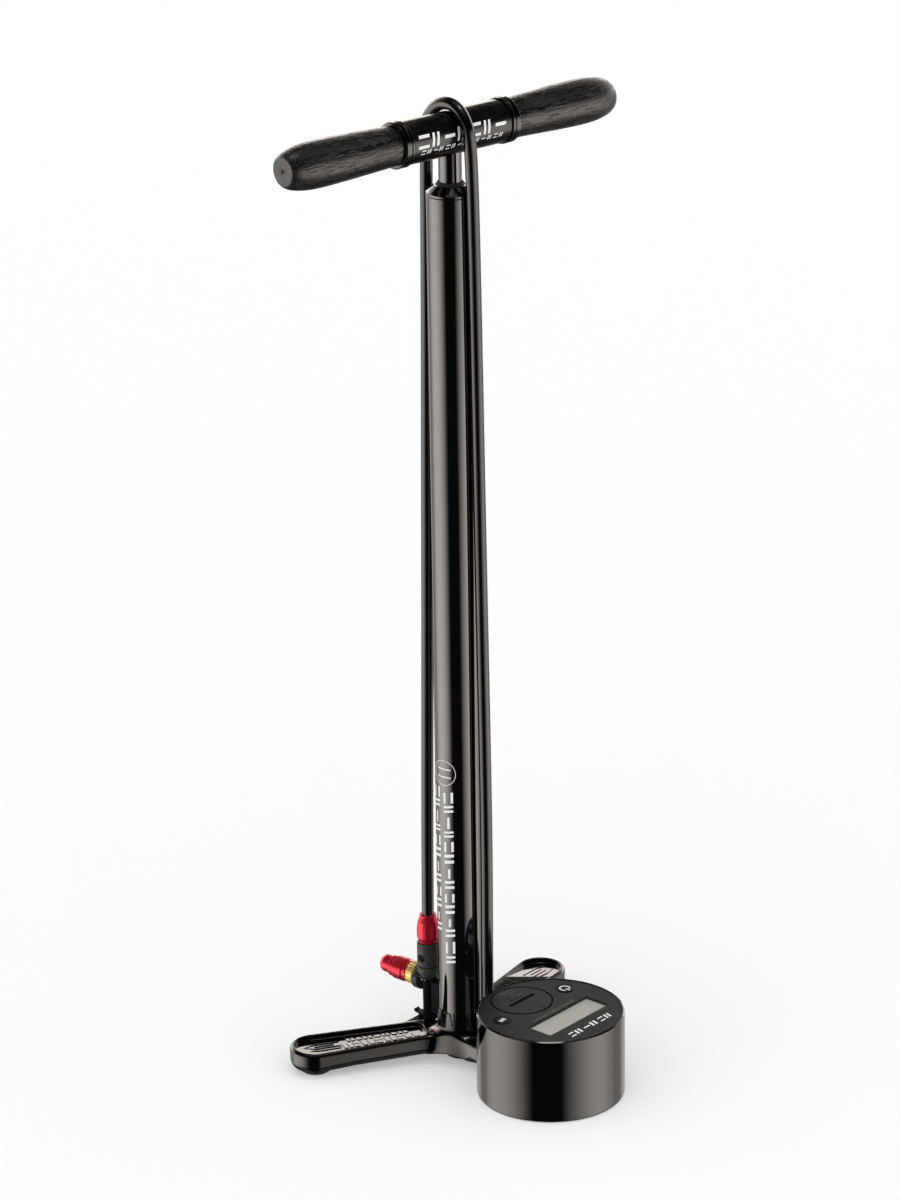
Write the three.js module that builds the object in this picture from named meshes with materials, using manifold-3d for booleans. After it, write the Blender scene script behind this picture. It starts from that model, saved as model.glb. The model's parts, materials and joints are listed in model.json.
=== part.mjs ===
// Floor pump for bicycle tyres: a cast foot with a digital gauge, a barrel with a plunger,
// a T-handle with turned wooden grips, and a hose stowed over the handle with its chuck docked.
// Millimetres, +Z up, floor at Z = 0, gauge towards -Y, handle across X.
import * as THREE from 'three';
import { mergeVertices } from 'three/addons/utils/BufferGeometryUtils.js';
import Module from 'manifold-3d';

const wasm = await Module();
wasm.setup();

// ---------------------------------------------------------------- driving dimensions
const GAP = 0.3; // clearance between touching pieces

const BARREL_R = 15.2;
const BARREL_BORE_R = 13.6;
const BARREL_BOTTOM = 16;
const BARREL_TOP = 587;

const ROD_R = 7.2;
const ROD_BORE_R = 5.4;
const ROD_BOTTOM = 34;

const HANDLE_Z = 625.7;
const HANDLE_SWIVEL = THREE.MathUtils.degToRad(-7.75);
const HANDLE_TUBE_R = 13.6;
const HANDLE_TUBE_HALF = 37.4;
const HANDLE_RING_R = 14.6;
const HANDLE_RING_END = 47.8;
const GRIP_END = 131.9;

const GAUGE_Y = -75.2; // gauge centre, measured from the barrel's axis
const GAUGE_R = 47.8;
const GAUGE_TOP = 57.2;
const TRAY_R = 48.5;
const TRAY_TOP = 13;
const TRAY_BOTTOM = 0.5;
const FACE_R = 45.9;
const FACE_Z = 54.6;
const SCREW_RADIUS = 39.4; // the gauge's screws lie on this circle
const SCREW_START = 60; // degrees from +Y to the first screw

const LEG_TOP_HUB = 22;
const LEG_TOP_TIP = 18.4;
const LEG_ROOT_HALF = 11.2;
const LEG_TIP_R = 16.8;
const LEFT_LEG = { root: [4, 5], tip: [-74.6, 62.7] };
const RIGHT_LEG = { root: [-2, 4], tip: [106.8, 22.2] };
const LEG_BOTTOMS = [[0, 8], [0.25, 8], [0.5, 7.6], [0.75, 7.2], [0.9, 5], [1, 3.5]]; // share along a leg, height
const HUB_BOTTOM = 8;
const HUB_TOP = 22;

const HOSE_R = 4;
const HOSE_INLET_Y = -21.7;
const HOSE_INLET_TOP = 40;
const CHUCK_Y = 28.5;
const BRANCH_Z = 49; // height of the chuck's horizontal branch
const BLEED_Z = 65.3; // height of the bleed button in the chuck
const CHANNEL_Z = 11; // height of the air channel in the foot

// The barrel's axis stands off the middle of the foot, between the gauge's front and the left leg's tip.
const FOOT_FRONT = GAUGE_Y - TRAY_R;
const FOOT_BACK = LEFT_LEG.tip[1] + LEG_TIP_R;
const AXIS_Y = -(FOOT_FRONT + FOOT_BACK) / 2;

// Hose route from the foot, up in front of the barrel, over the handle and down to the chuck.
const HOSE_ROUTE = [
  [0, -21.7, 40.3], [0, -22.2, 85], [0, -22.7, 150], [0, -22.3, 220], [0, -21.5, 290],
  [0, -20.7, 360], [-0.3, -20.2, 430], [-0.9, -20.0, 500], [-1.6, -19.8, 560],
  [-2.4, -19.6, 600], [-3.2, -19.2, 620], [-3.5, -17.4, 632], [-2.6, -12.2, 639.3],
  [-1.2, -6.3, 642.7], [0, 0, 643.8], [0.6, 6.4, 642.8], [0.8, 12.4, 639.4],
  [0.6, 17.4, 632.2], [0.4, 19.2, 621], [0.2, 19.5, 600], [0, 19.9, 560],
  [0, 21.0, 490], [0, 22.4, 420], [0, 23.7, 350], [0, 25.1, 280],
  [0, 26.6, 210], [0, 27.9, 145], [0, 28.5, 95.6],
];

// ---------------------------------------------------------------- materials
function finish(color, roughness, metalness) {
  return new THREE.MeshStandardMaterial({ color, roughness, metalness });
}

const glossBlack = finish(0x14130f, 0.18, 0.6);
const satinBlack = finish(0x1a1917, 0.4, 0.5);
const faceBlack = finish(0x2a2a2a, 0.75, 0);
const lcdGrey = finish(0xa5aaa0, 0.4, 0);
const clearGlass = finish(0xd8dcd8, 0.08, 0);
const redAlloy = finish(0xbe1e2d, 0.3, 0.8);
const brass = finish(0xc8b450, 0.3, 0.9);
const chuckBlack = finish(0x323232, 0.6, 0);
const hoseBlack = finish(0x101010, 0.25, 0);
const woodBlack = finish(0x1b1714, 0.5, 0);
const rubberBlack = finish(0x202020, 0.85, 0);
const steel = finish(0xb8bbbe, 0.3, 0.95);
const boardGreen = finish(0x1f5a34, 0.55, 0);
const nylonWhite = finish(0xd9d7cf, 0.5, 0);

// ---------------------------------------------------------------- solids and shapes
/** A closed geometry as a solid, its vertices merged and its faces turned outward. */
function solid(geometry) {
  const bare = geometry.clone();
  bare.deleteAttribute('normal');
  bare.deleteAttribute('uv');
  const merged = mergeVertices(bare, 1e-4);
  const place = merged.attributes.position;
  const index = merged.index.array;
  const kept = [];
  let volume = 0;
  const a = new THREE.Vector3();
  const b = new THREE.Vector3();
  const c = new THREE.Vector3();
  for (let i = 0; i < index.length; i += 3) {
    const [p, q, r] = [index[i], index[i + 1], index[i + 2]];
    if (p === q || q === r || r === p) continue;
    kept.push(p, q, r);
    a.fromBufferAttribute(place, p);
    b.fromBufferAttribute(place, q);
    c.fromBufferAttribute(place, r);
    volume += a.dot(b.cross(c));
  }
  if (volume < 0) kept.reverse();
  const mesh = new wasm.Mesh({
    numProp: 3,
    vertProperties: new Float32Array(place.array),
    triVerts: new Uint32Array(kept),
  });
  return new wasm.Manifold(mesh);
}

/** A named mesh of a solid. */
function piece(name, body, material) {
  const { vertProperties, triVerts } = body.getMesh();
  const geometry = new THREE.BufferGeometry();
  geometry.setAttribute('position', new THREE.BufferAttribute(vertProperties, 3));
  geometry.setIndex(new THREE.BufferAttribute(triVerts, 1));
  geometry.computeVertexNormals();
  const mesh = new THREE.Mesh(geometry, material);
  mesh.name = name;
  return mesh;
}

/** A body of revolution about Z. The outline is [radius, z] pairs; it is closed if it never meets the axis. */
function turned(outline, segments = 24) {
  const points = outline.map(([r, z]) => new THREE.Vector2(r, z));
  if (outline[0][0] > 0) points.push(points[0].clone());
  const geometry = new THREE.LatheGeometry(points, segments);
  geometry.rotateX(Math.PI / 2);
  return solid(geometry);
}

/** A solid cylinder along Z. */
function rod(radius, low, high, segments = 16) {
  return turned([[0, low], [radius, low], [radius, high], [0, high]], segments);
}

/** A ring with a rectangular section, along Z. */
function ring(outer, inner, low, high, segments = 24) {
  return turned([[inner, low], [outer, low], [outer, high], [inner, high]], segments);
}

function block(sizeX, sizeY, sizeZ, x, y, z) {
  return solid(new THREE.BoxGeometry(sizeX, sizeY, sizeZ).translate(x, y, z));
}

/** An outline in plan, raised from low to high. */
function raised(shape, low, high, bevel = 0) {
  const geometry = new THREE.ExtrudeGeometry(shape, {
    depth: high - low - 2 * bevel,
    bevelEnabled: bevel > 0,
    bevelThickness: bevel,
    bevelSize: bevel,
    bevelOffset: -bevel,
    bevelSegments: 2,
    curveSegments: 6,
  });
  return solid(geometry.translate(0, 0, low + bevel));
}

/** A closed skin over rings that all have the same number of [x, y, z] points. */
function lofted(rings) {
  const count = rings[0].length;
  const positions = rings.flat(2);
  const index = [];
  for (let i = 0; i + 1 < rings.length; i++) {
    for (let j = 0; j < count; j++) {
      const next = (j + 1) % count;
      const [a, b] = [i * count + j, i * count + next];
      index.push(a, b, b + count, a, b + count, a + count);
    }
  }
  for (const [first, flip] of [[0, true], [(rings.length - 1) * count, false]]) {
    for (let j = 1; j + 1 < count; j++) {
      index.push(first, first + (flip ? j + 1 : j), first + (flip ? j : j + 1));
    }
  }
  const geometry = new THREE.BufferGeometry();
  geometry.setAttribute('position', new THREE.Float32BufferAttribute(positions, 3));
  geometry.setIndex(index);
  return solid(geometry);
}

function moved(body, x, y, z) {
  return body.translate([x, y, z]);
}

/** A body made about Z, laid along +Y at the height of the chuck's branch. */
function alongBranch(body) {
  return moved(body.rotate([-90, 0, 0]), 0, 0, BRANCH_Z);
}

/** A body made about Z, laid along +X. */
function alongX(body) {
  return body.rotate([0, 90, 0]);
}

function union(bodies) {
  return bodies.reduce((all, body) => all.add(body));
}

/** Copies of a body, spaced evenly round Z. */
function spaced(body, count, startDegrees = 0) {
  const copies = [];
  for (let i = 0; i < count; i++) copies.push(body.rotate([0, 0, startDegrees + (360 / count) * i]));
  return union(copies);
}

// ---------------------------------------------------------------- foot
const LEG_STATIONS = LEG_BOTTOMS.map(([share]) => share);
const TIP_STEPS = [0.35, 0.65, 0.86, 0.97];

function legFrame({ root, tip }) {
  const length = Math.hypot(tip[0] - root[0], tip[1] - root[1]);
  const along = [(tip[0] - root[0]) / length, (tip[1] - root[1]) / length];
  return { root, length, along };
}

function legHalfWidth(share) {
  return LEG_ROOT_HALF + (LEG_TIP_R - LEG_ROOT_HALF) * share ** 0.8;
}

function legTop(share) {
  return LEG_TOP_HUB + (LEG_TOP_TIP - LEG_TOP_HUB) * share;
}

function legBottom(share) {
  const at = Math.max(1, LEG_BOTTOMS.findIndex(([next]) => next >= share));
  const [[before, low], [after, high]] = [LEG_BOTTOMS[at - 1], LEG_BOTTOMS[at]];
  return low + ((high - low) * (share - before)) / (after - before);
}

/** A body along a leg, drawn in from its outline by inset, between two heights that may slope with it. */
function legBody(leg, inset, lowAt, topAt, bevel, startAt = 0) {
  const { root, length, along } = legFrame(leg);
  const side = [-along[1], along[0]];
  const stations = LEG_STATIONS.filter((share) => share >= startAt).map((share) => ({
    s: share * length,
    half: legHalfWidth(share) - inset,
    ease: 0,
  }));
  for (const step of TIP_STEPS) {
    const radius = LEG_TIP_R - inset;
    stations.push({
      s: length + step * radius,
      half: radius * Math.sqrt(1 - step * step),
      ease: Math.max(0, step - 0.6) * 4 * Math.min(bevel, 2),
    });
  }
  const rings = stations.map(({ s, half, ease }) => {
    const share = Math.min(s / length, 1);
    const top = topAt(share) - ease;
    const low = lowAt(share) + ease;
    const edge = Math.min(bevel, half * 0.6);
    const section = [
      [-half + edge, low], [half - edge, low], [half - edge * 0.3, low + edge * 0.3],
      [half, low + edge], [half, top - edge * 0.8], [half - edge * 0.25, top - edge * 0.2],
      [half - edge * 0.8, top], [-half + edge * 0.8, top], [-half + edge * 0.25, top - edge * 0.2],
      [-half, top - edge * 0.8], [-half, low + edge], [-half + edge * 0.3, low + edge * 0.3],
    ];
    return section.map(([across, z]) => [
      root[0] + along[0] * s + side[0] * across,
      root[1] + along[1] * s + side[1] * across,
      z,
    ]);
  });
  return lofted(rings);
}

/** Raised ribs that lie in the pocket on top of a leg. */
function legRibs(leg) {
  const { root, length, along } = legFrame(leg);
  const angle = THREE.MathUtils.radToDeg(Math.atan2(along[1], along[0]));
  const slope = THREE.MathUtils.radToDeg(Math.atan2(LEG_TOP_HUB - LEG_TOP_TIP, length));
  const ribs = [-6, 0, 6].map((across) => block(length * 0.5, 2, 2, 0, across, 0));
  const middle = 0.66;
  return moved(
    union(ribs).rotate([0, slope, 0]).rotate([0, 0, angle]),
    root[0] + along[0] * length * middle,
    root[1] + along[1] * length * middle,
    legTop(middle) - 1.7,
  );
}

/** The plan of the foot's middle: the roots of both legs, the neck to the gauge and the dock's ledge. */
function hubPlan() {
  const shape = new THREE.Shape();
  shape.moveTo(-35.5, 19);
  shape.quadraticCurveTo(-15.5, 6, -15.2, -8);
  shape.quadraticCurveTo(-15.4, -20, -19, -34);
  shape.lineTo(19, -34);
  shape.quadraticCurveTo(15.4, -20, 15.2, -9);
  shape.quadraticCurveTo(16, -3, 39.5, -0.6);
  shape.lineTo(35, 23.6);
  shape.quadraticCurveTo(14, 20, 9, 30);
  shape.quadraticCurveTo(7, 37.5, 0, 37.5);
  shape.quadraticCurveTo(-8, 37.5, -21.2, 38.4);
  shape.closePath();
  return shape;
}

function footCasting() {
  const tray = turned([
    [0, TRAY_BOTTOM], [47.4, TRAY_BOTTOM], [TRAY_R, 1.8], [TRAY_R, TRAY_TOP - 0.5], [48, TRAY_TOP],
    [44.8, TRAY_TOP], [44.8, 15.4], [42.6, 15.4], [42.6, 7], [0, 7],
  ], 40);
  const collar = turned([
    [0, 12], [17.4, 12], [17.4, 22.2], [16.6, 24.4], [16.2, 29], [15.9, 38], [0, 38],
  ], 36);
  let body = union([
    legBody(LEFT_LEG, 0, legBottom, legTop, 3.2),
    legBody(RIGHT_LEG, 0, legBottom, legTop, 3.2),
    raised(hubPlan(), HUB_BOTTOM, HUB_TOP, 1.8),
    rod(12, 4, 14, 32),
    collar,
  ]);
  // the neck stops short of the gauge's housing, and runs on below it into the tray
  body = body.subtract(moved(rod(GAUGE_R + 0.4, TRAY_TOP, 60, 40), 0, GAUGE_Y, 0));
  body = body.subtract(moved(rod(TRAY_R - 3, -1, TRAY_TOP + 1, 40), 0, GAUGE_Y, 0));
  body = body.add(moved(tray, 0, GAUGE_Y, 0));
  for (const leg of [LEFT_LEG, RIGHT_LEG]) {
    const pocket = legBody(leg, 3.4, (share) => legTop(share) - 1.5, (share) => legTop(share) + 4, 0.6, 0.25);
    const hollow = legBody(leg, 4, () => -2, (share) => legTop(share) - 7, 1, 0.25);
    body = body.subtract(pocket).add(legRibs(leg)).subtract(hollow).add(footBoss(leg));
  }
  return body.subtract(castingBores());
}

/** The boss under a leg's tip that its rubber pad is pressed on. */
function footBoss({ tip }) {
  return moved(rod(10.4, 3.2, 14, 24), tip[0], tip[1], 0);
}

/** Sockets, screw holes and air channels in the foot. */
function castingBores() {
  const channelLength = -GAUGE_Y - 40;
  const channel = moved(rod(1.6, 0, channelLength, 12).rotate([90, 0, 0]), 0, 0, CHANNEL_Z);
  const screwHoles = union([rod(1.9, 0, 9, 12), rod(3.6, 0, 4.4, 16)]);
  return union([
    rod(BARREL_R + GAP, BARREL_BOTTOM - GAP, 40, 36),
    rod(4.6, 6.4, BARREL_BOTTOM, 20),
    channel,
    moved(rod(1.6, CHANNEL_Z, HUB_TOP, 12), 0, HOSE_INLET_Y, 0),
    moved(rod(3.4, 17, HUB_TOP + 2, 20), 0, HOSE_INLET_Y, 0),
    moved(ring(36.3, 29.7, -1, 4.4, 36), 0, GAUGE_Y, 0),
    moved(spaced(moved(screwHoles, 0, SCREW_RADIUS, 0), 3, SCREW_START), 0, GAUGE_Y, 0),
    moved(rod(3.3, 12, HUB_TOP + 1, 16), 0, CHUCK_Y, 0),
  ]);
}

function footPad({ tip }) {
  const cup = turned([
    [0, 0], [8.6, 0], [11.6, 2.4], [11.7, 6.6], [10.8, 6.6], [10.8, 2.9], [0, 2.9],
  ], 20);
  return moved(cup, tip[0], tip[1], 0);
}

function foot() {
  const gaugeRing = moved(ring(36, 30, 0, 4.1, 36), 0, GAUGE_Y, 0);
  return [
    piece('base_casting', footCasting(), glossBlack),
    piece('left_foot_pad', footPad(LEFT_LEG), rubberBlack),
    piece('right_foot_pad', footPad(RIGHT_LEG), rubberBlack),
    piece('gauge_foot_ring', gaugeRing, rubberBlack),
  ];
}

// ---------------------------------------------------------------- gauge
const CAP_AT = [-0.7, 23.5];
const CAP_R = 19.8;
const LCD_AT = [1.1, -14.2];
const LCD_SIZE = [58.5, 18.3];
const POWER_AT = [30.5, 13.1];
const UNIT_AT = [-31.2, 14.2];
const BUTTON_R = 5.8;

function gaugeHousing() {
  const shell = turned([
    [45.1, TRAY_TOP + GAP], [GAUGE_R, TRAY_TOP + GAP], [GAUGE_R, 56.4], [46.9, GAUGE_TOP],
    [46.3, GAUGE_TOP], [46.3, FACE_Z - GAP], [44.6, FACE_Z - GAP], [45.1, FACE_Z - 4],
  ], 40);
  const boss = union([rod(3.8, 15.8, 30, 16), block(5, 6, 14.2, 0, 3.4, 22.9)]);
  const drilled = boss.subtract(rod(1.4, 14, 27, 12));
  return shell.add(spaced(moved(drilled, 0, SCREW_RADIUS, 0), 3, SCREW_START));
}

function gaugeFace() {
  return rod(FACE_R, FACE_Z, 56.9, 40)
    .subtract(moved(rod(CAP_R + 0.4, 50, 60, 36), ...CAP_AT, 0))
    .subtract(moved(rod(BUTTON_R + 0.3, 50, 60, 20), ...POWER_AT, 0))
    .subtract(moved(rod(BUTTON_R + 0.3, 50, 60, 20), ...UNIT_AT, 0))
    .subtract(block(LCD_SIZE[0] + 0.6, LCD_SIZE[1] + 0.6, 10, ...LCD_AT, FACE_Z));
}

function batteryCap() {
  const cap = turned([
    [0, 53.2], [18.6, 53.2], [18.6, 55], [CAP_R, 55], [CAP_R, 56.6], [19.3, 57.1], [0, 57.1],
  ], 36);
  return moved(cap.subtract(block(24, 2.5, 3, 0, 0, 57.2)), ...CAP_AT, 0);
}

function batteryWell() {
  const cup = turned([
    [0, 42.4], [17, 42.4], [17, 52], [20.8, 52], [20.8, 54.2], [20.1, 54.2], [20.1, 52.9],
    [15.4, 52.9], [15.4, 43.6], [0, 43.6],
  ], 24);
  return moved(cup, ...CAP_AT, 0);
}

function button(at) {
  const plate = turned([
    [0, 51.6], [2.4, 51.6], [2.4, 52.8], [BUTTON_R, 52.8], [BUTTON_R, 56.9], [5.3, 57.3], [0, 57.3],
  ], 20);
  return moved(plate, ...at, 0);
}

function circuitBoard() {
  const plan = new THREE.Shape();
  plan.absarc(0, 0, 40, Math.PI * 1.03, Math.PI * 1.97, false);
  plan.closePath();
  const board = raised(plan, 47.6, 49.2);
  const tabs = [POWER_AT, UNIT_AT].map(([x, y]) => block(14, 24, 1.6, x, y - 9, 48.4));
  return union([board, ...tabs]);
}

function pressureSensor() {
  return moved(
    union([rod(5.5, 36, 47.3, 20), rod(2.1, 30, 36, 16)]),
    0,
    -9,
    0,
  );
}

function sensorPipe() {
  const route = new THREE.CatmullRomCurve3([
    new THREE.Vector3(0, 42.2, CHANNEL_Z),
    new THREE.Vector3(0, 30, CHANNEL_Z + 0.5),
    new THREE.Vector3(0, 10, CHANNEL_Z + 4),
    new THREE.Vector3(0, -4, 19),
    new THREE.Vector3(0, -8.4, 24),
    new THREE.Vector3(0, -9, 29.7),
  ]);
  const section = new THREE.Shape().absarc(0, 0, 1.8, 0, 2 * Math.PI, false);
  return solid(new THREE.ExtrudeGeometry(section, {
    steps: 12, curveSegments: 4, bevelEnabled: false, extrudePath: route,
  }));
}

function gaugeScrews() {
  const screw = moved(union([rod(3.1, 1.7, 4, 16), rod(1.05, 3, 14.9, 12)]), 0, SCREW_RADIUS, 0);
  return [1, 2, 3].map((number) => {
    const turn = SCREW_START + 120 * (number - 1);
    return piece(`gauge_screw_${number}`, screw.rotate([0, 0, turn]), steel);
  });
}

function gauge() {
  const group = new THREE.Group();
  group.position.y = GAUGE_Y;
  const window = block(LCD_SIZE[0], LCD_SIZE[1], 1.3, ...LCD_AT, 56.15);
  const panel = union([
    block(LCD_SIZE[0], LCD_SIZE[1] + 2, 3.2, ...LCD_AT, 52.6),
    block(LCD_SIZE[0] - 0.4, LCD_SIZE[1] - 0.4, 2.3, ...LCD_AT, 54.15),
  ]);
  const capSeal = moved(ring(19.8, 18.9, 53.1, 54.7, 28), ...CAP_AT, 0);
  const cell = moved(rod(12.2, 45.2, 50.2, 24), ...CAP_AT, 0);
  const contact = moved(union([rod(6, 43.8, 44.2, 20), rod(3, 44, 44.9, 16)]), ...CAP_AT, 0);
  group.add(
    piece('gauge_housing', gaugeHousing(), glossBlack),
    piece('gauge_face', gaugeFace(), faceBlack),
    piece('lcd_window', window, clearGlass),
    piece('lcd_panel', panel, lcdGrey),
    piece('circuit_board', circuitBoard(), boardGreen),
    piece('pressure_sensor', pressureSensor(), steel),
    piece('sensor_air_pipe', sensorPipe(), nylonWhite),
    piece('battery_well', batteryWell(), faceBlack),
    piece('battery_contact', contact, steel),
    piece('coin_cell', cell, steel),
    piece('battery_cap', batteryCap(), faceBlack),
    piece('battery_cap_seal', capSeal, rubberBlack),
    piece('power_button', button(POWER_AT), glossBlack),
    piece('unit_button', button(UNIT_AT), glossBlack),
    ...gaugeScrews(),
  );
  return group;
}

// ---------------------------------------------------------------- barrel, plunger and valve
function barrelCap() {
  return turned([
    [11.3, 569], [13.2, 569], [13.2, 581.6], [12, 581.6], [12, 584.4], [13.2, 584.4],
    [13.2, BARREL_TOP + GAP], [BARREL_R, BARREL_TOP + GAP],
    [BARREL_R, 588.8], [14.1, 590.2], [10.4, 593.4], [9.3, 593.4], [9.3, 591], [11.3, 591],
  ], 28);
}

function rodWiper() {
  return turned([
    [7.5, 591.3], [9, 591.3], [9, 593.6], [8.6, 596], [7.9, 597.4], [7.5, 597.4],
  ], 20);
}

function footPlug() {
  return turned([
    [1.8, 16.2], [4, 16.2], [13.3, 16.2], [13.3, 20], [11.5, 20.4], [11.5, 22.6], [13.3, 23],
    [13.3, 28], [3, 28], [1.8, 26],
  ], 18);
}

function pistonHead() {
  return turned([
    [7.5, 36.4], [7.5, 50], [9.5, 52], [12.9, 52], [12.9, 48.4], [11.2, 48.4], [11.2, 44.4],
    [12.9, 44.4], [12.9, 41.4], [10.4, 41.4], [10.4, 37.6], [12.9, 37.6], [12.9, 34], [5, 34],
    [5, ROD_BOTTOM - 2.6], [3.4, ROD_BOTTOM - 2.6], [3.4, 36.4],
  ], 18);
}

function pistonNut() {
  const hexagon = new THREE.Shape();
  for (let i = 0; i < 6; i++) {
    const angle = (i * Math.PI) / 3;
    const corner = [7 * Math.cos(angle), 7 * Math.sin(angle)];
    if (i === 0) hexagon.moveTo(...corner);
    else hexagon.lineTo(...corner);
  }
  hexagon.closePath();
  return raised(hexagon, 28.9, 31.1);
}

function coil(radius, wire, low, high, turns) {
  const steps = turns * 10;
  const points = [];
  for (let i = 0; i <= steps; i++) {
    const angle = (i / steps) * turns * 2 * Math.PI;
    const z = low + wire + (high - low - 2 * wire) * (i / steps);
    points.push(new THREE.Vector3(radius * Math.cos(angle), radius * Math.sin(angle), z));
  }
  const section = new THREE.Shape().absarc(0, 0, wire, 0, 2 * Math.PI, false);
  return solid(new THREE.ExtrudeGeometry(section, {
    steps, curveSegments: 3, bevelEnabled: false, extrudePath: new THREE.CatmullRomCurve3(points),
  }));
}

function barrelParts() {
  const barrel = turned([
    [BARREL_BORE_R, BARREL_BOTTOM], [BARREL_R, BARREL_BOTTOM],
    [BARREL_R, BARREL_TOP], [BARREL_BORE_R, BARREL_TOP],
  ], 36);
  const bush = ring(11, 7.5, 570, 590.7);
  const ball = solid(new THREE.SphereGeometry(2.7, 12, 8)).translate([0, 0, 13]);
  const plungerRod = ring(ROD_R, ROD_BORE_R, 36.7, 618.5);
  return [
    piece('barrel', barrel, glossBlack),
    piece('barrel_cap', barrelCap(), glossBlack),
    piece('barrel_cap_seal', ring(13.3, 12.3, 582, 584, 18), rubberBlack),
    piece('rod_bush', bush, nylonWhite),
    piece('rod_wiper', rodWiper(), rubberBlack),
    piece('barrel_foot_plug', footPlug(), steel),
    piece('foot_plug_seal', ring(13.3, 11.8, 20.7, 22.3, 18), rubberBlack),
    piece('check_ball', ball, steel),
    piece('check_spring', coil(2.6, 0.35, 6.6, 10.2, 3), steel),
    piece('piston_rod', plungerRod, satinBlack),
    piece('piston_head', pistonHead(), nylonWhite),
    piece('piston_seal', ring(13.3, 10.7, 37.9, 41.1, 18), rubberBlack),
    piece('piston_glide_ring', ring(13.3, 11.5, 44.7, 48.1, 18), nylonWhite),
    piece('piston_nut', pistonNut(), steel),
  ];
}

// ---------------------------------------------------------------- handle
function handleTube() {
  const tube = ring(HANDLE_TUBE_R, 10.2, -HANDLE_TUBE_HALF, HANDLE_TUBE_HALF, 36);
  return alongX(tube).subtract(rod(ROD_R + GAP, -20, 0, 24));
}

function handleCore() {
  const core = alongX(rod(9.9, -15, 15, 24)).subtract(rod(ROD_R + GAP, -20, -6.9, 24));
  const pinHole = alongX(rod(2.3, -20, 20, 16)).translate([0, 0, -1]);
  return core.subtract(pinHole);
}

function handleRing() {
  return turned([
    [5, 37.7], [13.4, 37.7], [HANDLE_RING_R, 38.6], [HANDLE_RING_R, 40.9], [14, 41.7],
    [HANDLE_RING_R, 42.5], [HANDLE_RING_R, 47], [13.8, HANDLE_RING_END], [5, HANDLE_RING_END],
  ], 24);
}

function grip() {
  const outline = [[3.3, 48.1], [12.5, 48.1]];
  const swell = [[64.5, 13.1], [83.3, 13.9], [104.3, 14.4], [115.8, 14], [124.2, 12.7], [129.2, 11]];
  for (const [x, r] of swell) outline.push([r, x]);
  outline.push([9.6, 131.3], [8.7, GRIP_END], [0.8, GRIP_END], [0, 130.9], [0, 101], [3.3, 101]);
  return turnedOpen(outline, 24);
}

/** A body of revolution whose outline meets the axis part of the way along. */
function turnedOpen(outline, segments) {
  const points = [...outline, outline[0]].map(([r, z]) => new THREE.Vector2(r, z));
  const geometry = new THREE.LatheGeometry(points, segments);
  geometry.rotateX(Math.PI / 2);
  return solid(geometry);
}

function handle() {
  const group = new THREE.Group();
  group.position.z = HANDLE_Z;
  group.rotation.z = HANDLE_SWIVEL;
  group.add(
    piece('handle_tube', handleTube(), satinBlack),
    piece('handle_core', handleCore(), steel),
  );
  for (const [side, turn] of [['right', 0], ['left', 180]]) {
    const facing = (body) => alongX(body).rotate([0, 0, turn]);
    group.add(
      piece(`${side}_handle_ring`, facing(handleRing()), glossBlack),
      piece(`${side}_grip`, facing(grip()), woodBlack),
      piece(`${side}_grip_stud`, facing(rod(3, 15.3, 100.7, 16)), steel),
    );
  }
  return group;
}

// ---------------------------------------------------------------- hose and chuck
/** A route whose steps follow its points, so that tight bends get more of them. */
class HoseRoute extends THREE.CatmullRomCurve3 {
  getPointAt(share) {
    return this.getPoint(share);
  }

  getTangentAt(share) {
    return this.getTangent(share);
  }

  getSpacedPoints(divisions) {
    return this.getPoints(divisions);
  }
}

function hose() {
  const route = new HoseRoute(HOSE_ROUTE.map(([x, y, z]) => new THREE.Vector3(x, y, z)));
  const section = new THREE.Shape().absarc(0, 0, HOSE_R, 0, 2 * Math.PI, false);
  return solid(new THREE.ExtrudeGeometry(section, {
    steps: (HOSE_ROUTE.length - 1) * 3, curveSegments: 4, bevelEnabled: false, extrudePath: route,
  }));
}

function hoseInlet() {
  const barb = turned([
    [1.4, 17.4], [3.1, 17.4], [3.1, 23.6], [4.4, 23.6], [4.4, 25], [2.2, 25], [2.2, 38], [1.4, 38],
  ], 16);
  const sleeve = turned([
    [2.5, 25.3], [4.8, 25.3], [4.8, 38.6], [4.4, HOSE_INLET_TOP], [2.5, HOSE_INLET_TOP],
  ], 16);
  return [
    piece('hose_inlet_barb', moved(barb, 0, HOSE_INLET_Y, 0), steel),
    piece('hose_inlet_sleeve', moved(sleeve, 0, HOSE_INLET_Y, 0), glossBlack),
  ];
}

function hoseFerrule() {
  return turned([
    [0, 75.8], [5.7, 75.8], [5.9, 76.4], [6.1, 77.8], [6.8, 80.2], [6.87, 87.4], [6.4, 90.6],
    [5.5, 94], [5.2, 95.1], [4.7, 95.3], [0, 95.3],
  ], 24);
}

function chuckBody() {
  const shell = turned([
    [0, 58.9], [6.6, 58.9], [7.1, 59.5], [7.1, 75], [6.6, 75.5], [0, 75.5],
  ], 24);
  return shell.subtract(moved(rod(2.6, 2, 9, 16).rotate([0, -90, 0]), 0, 0, BLEED_Z));
}

function bleedButton() {
  const plunger = union([rod(2.2, 4.4, 6.2, 16), rod(1, 3.4, 4.5, 12)]);
  return moved(plunger.rotate([0, -90, 0]), 0, 0, BLEED_Z);
}

function swivelRing() {
  return turned([
    [0, 51.3], [6.3, 51.3], [6.3, 53.9], [7, 53.9], [7.3, 54.4], [7.3, 58.1], [7, 58.6], [0, 58.6],
  ], 24);
}

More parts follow.
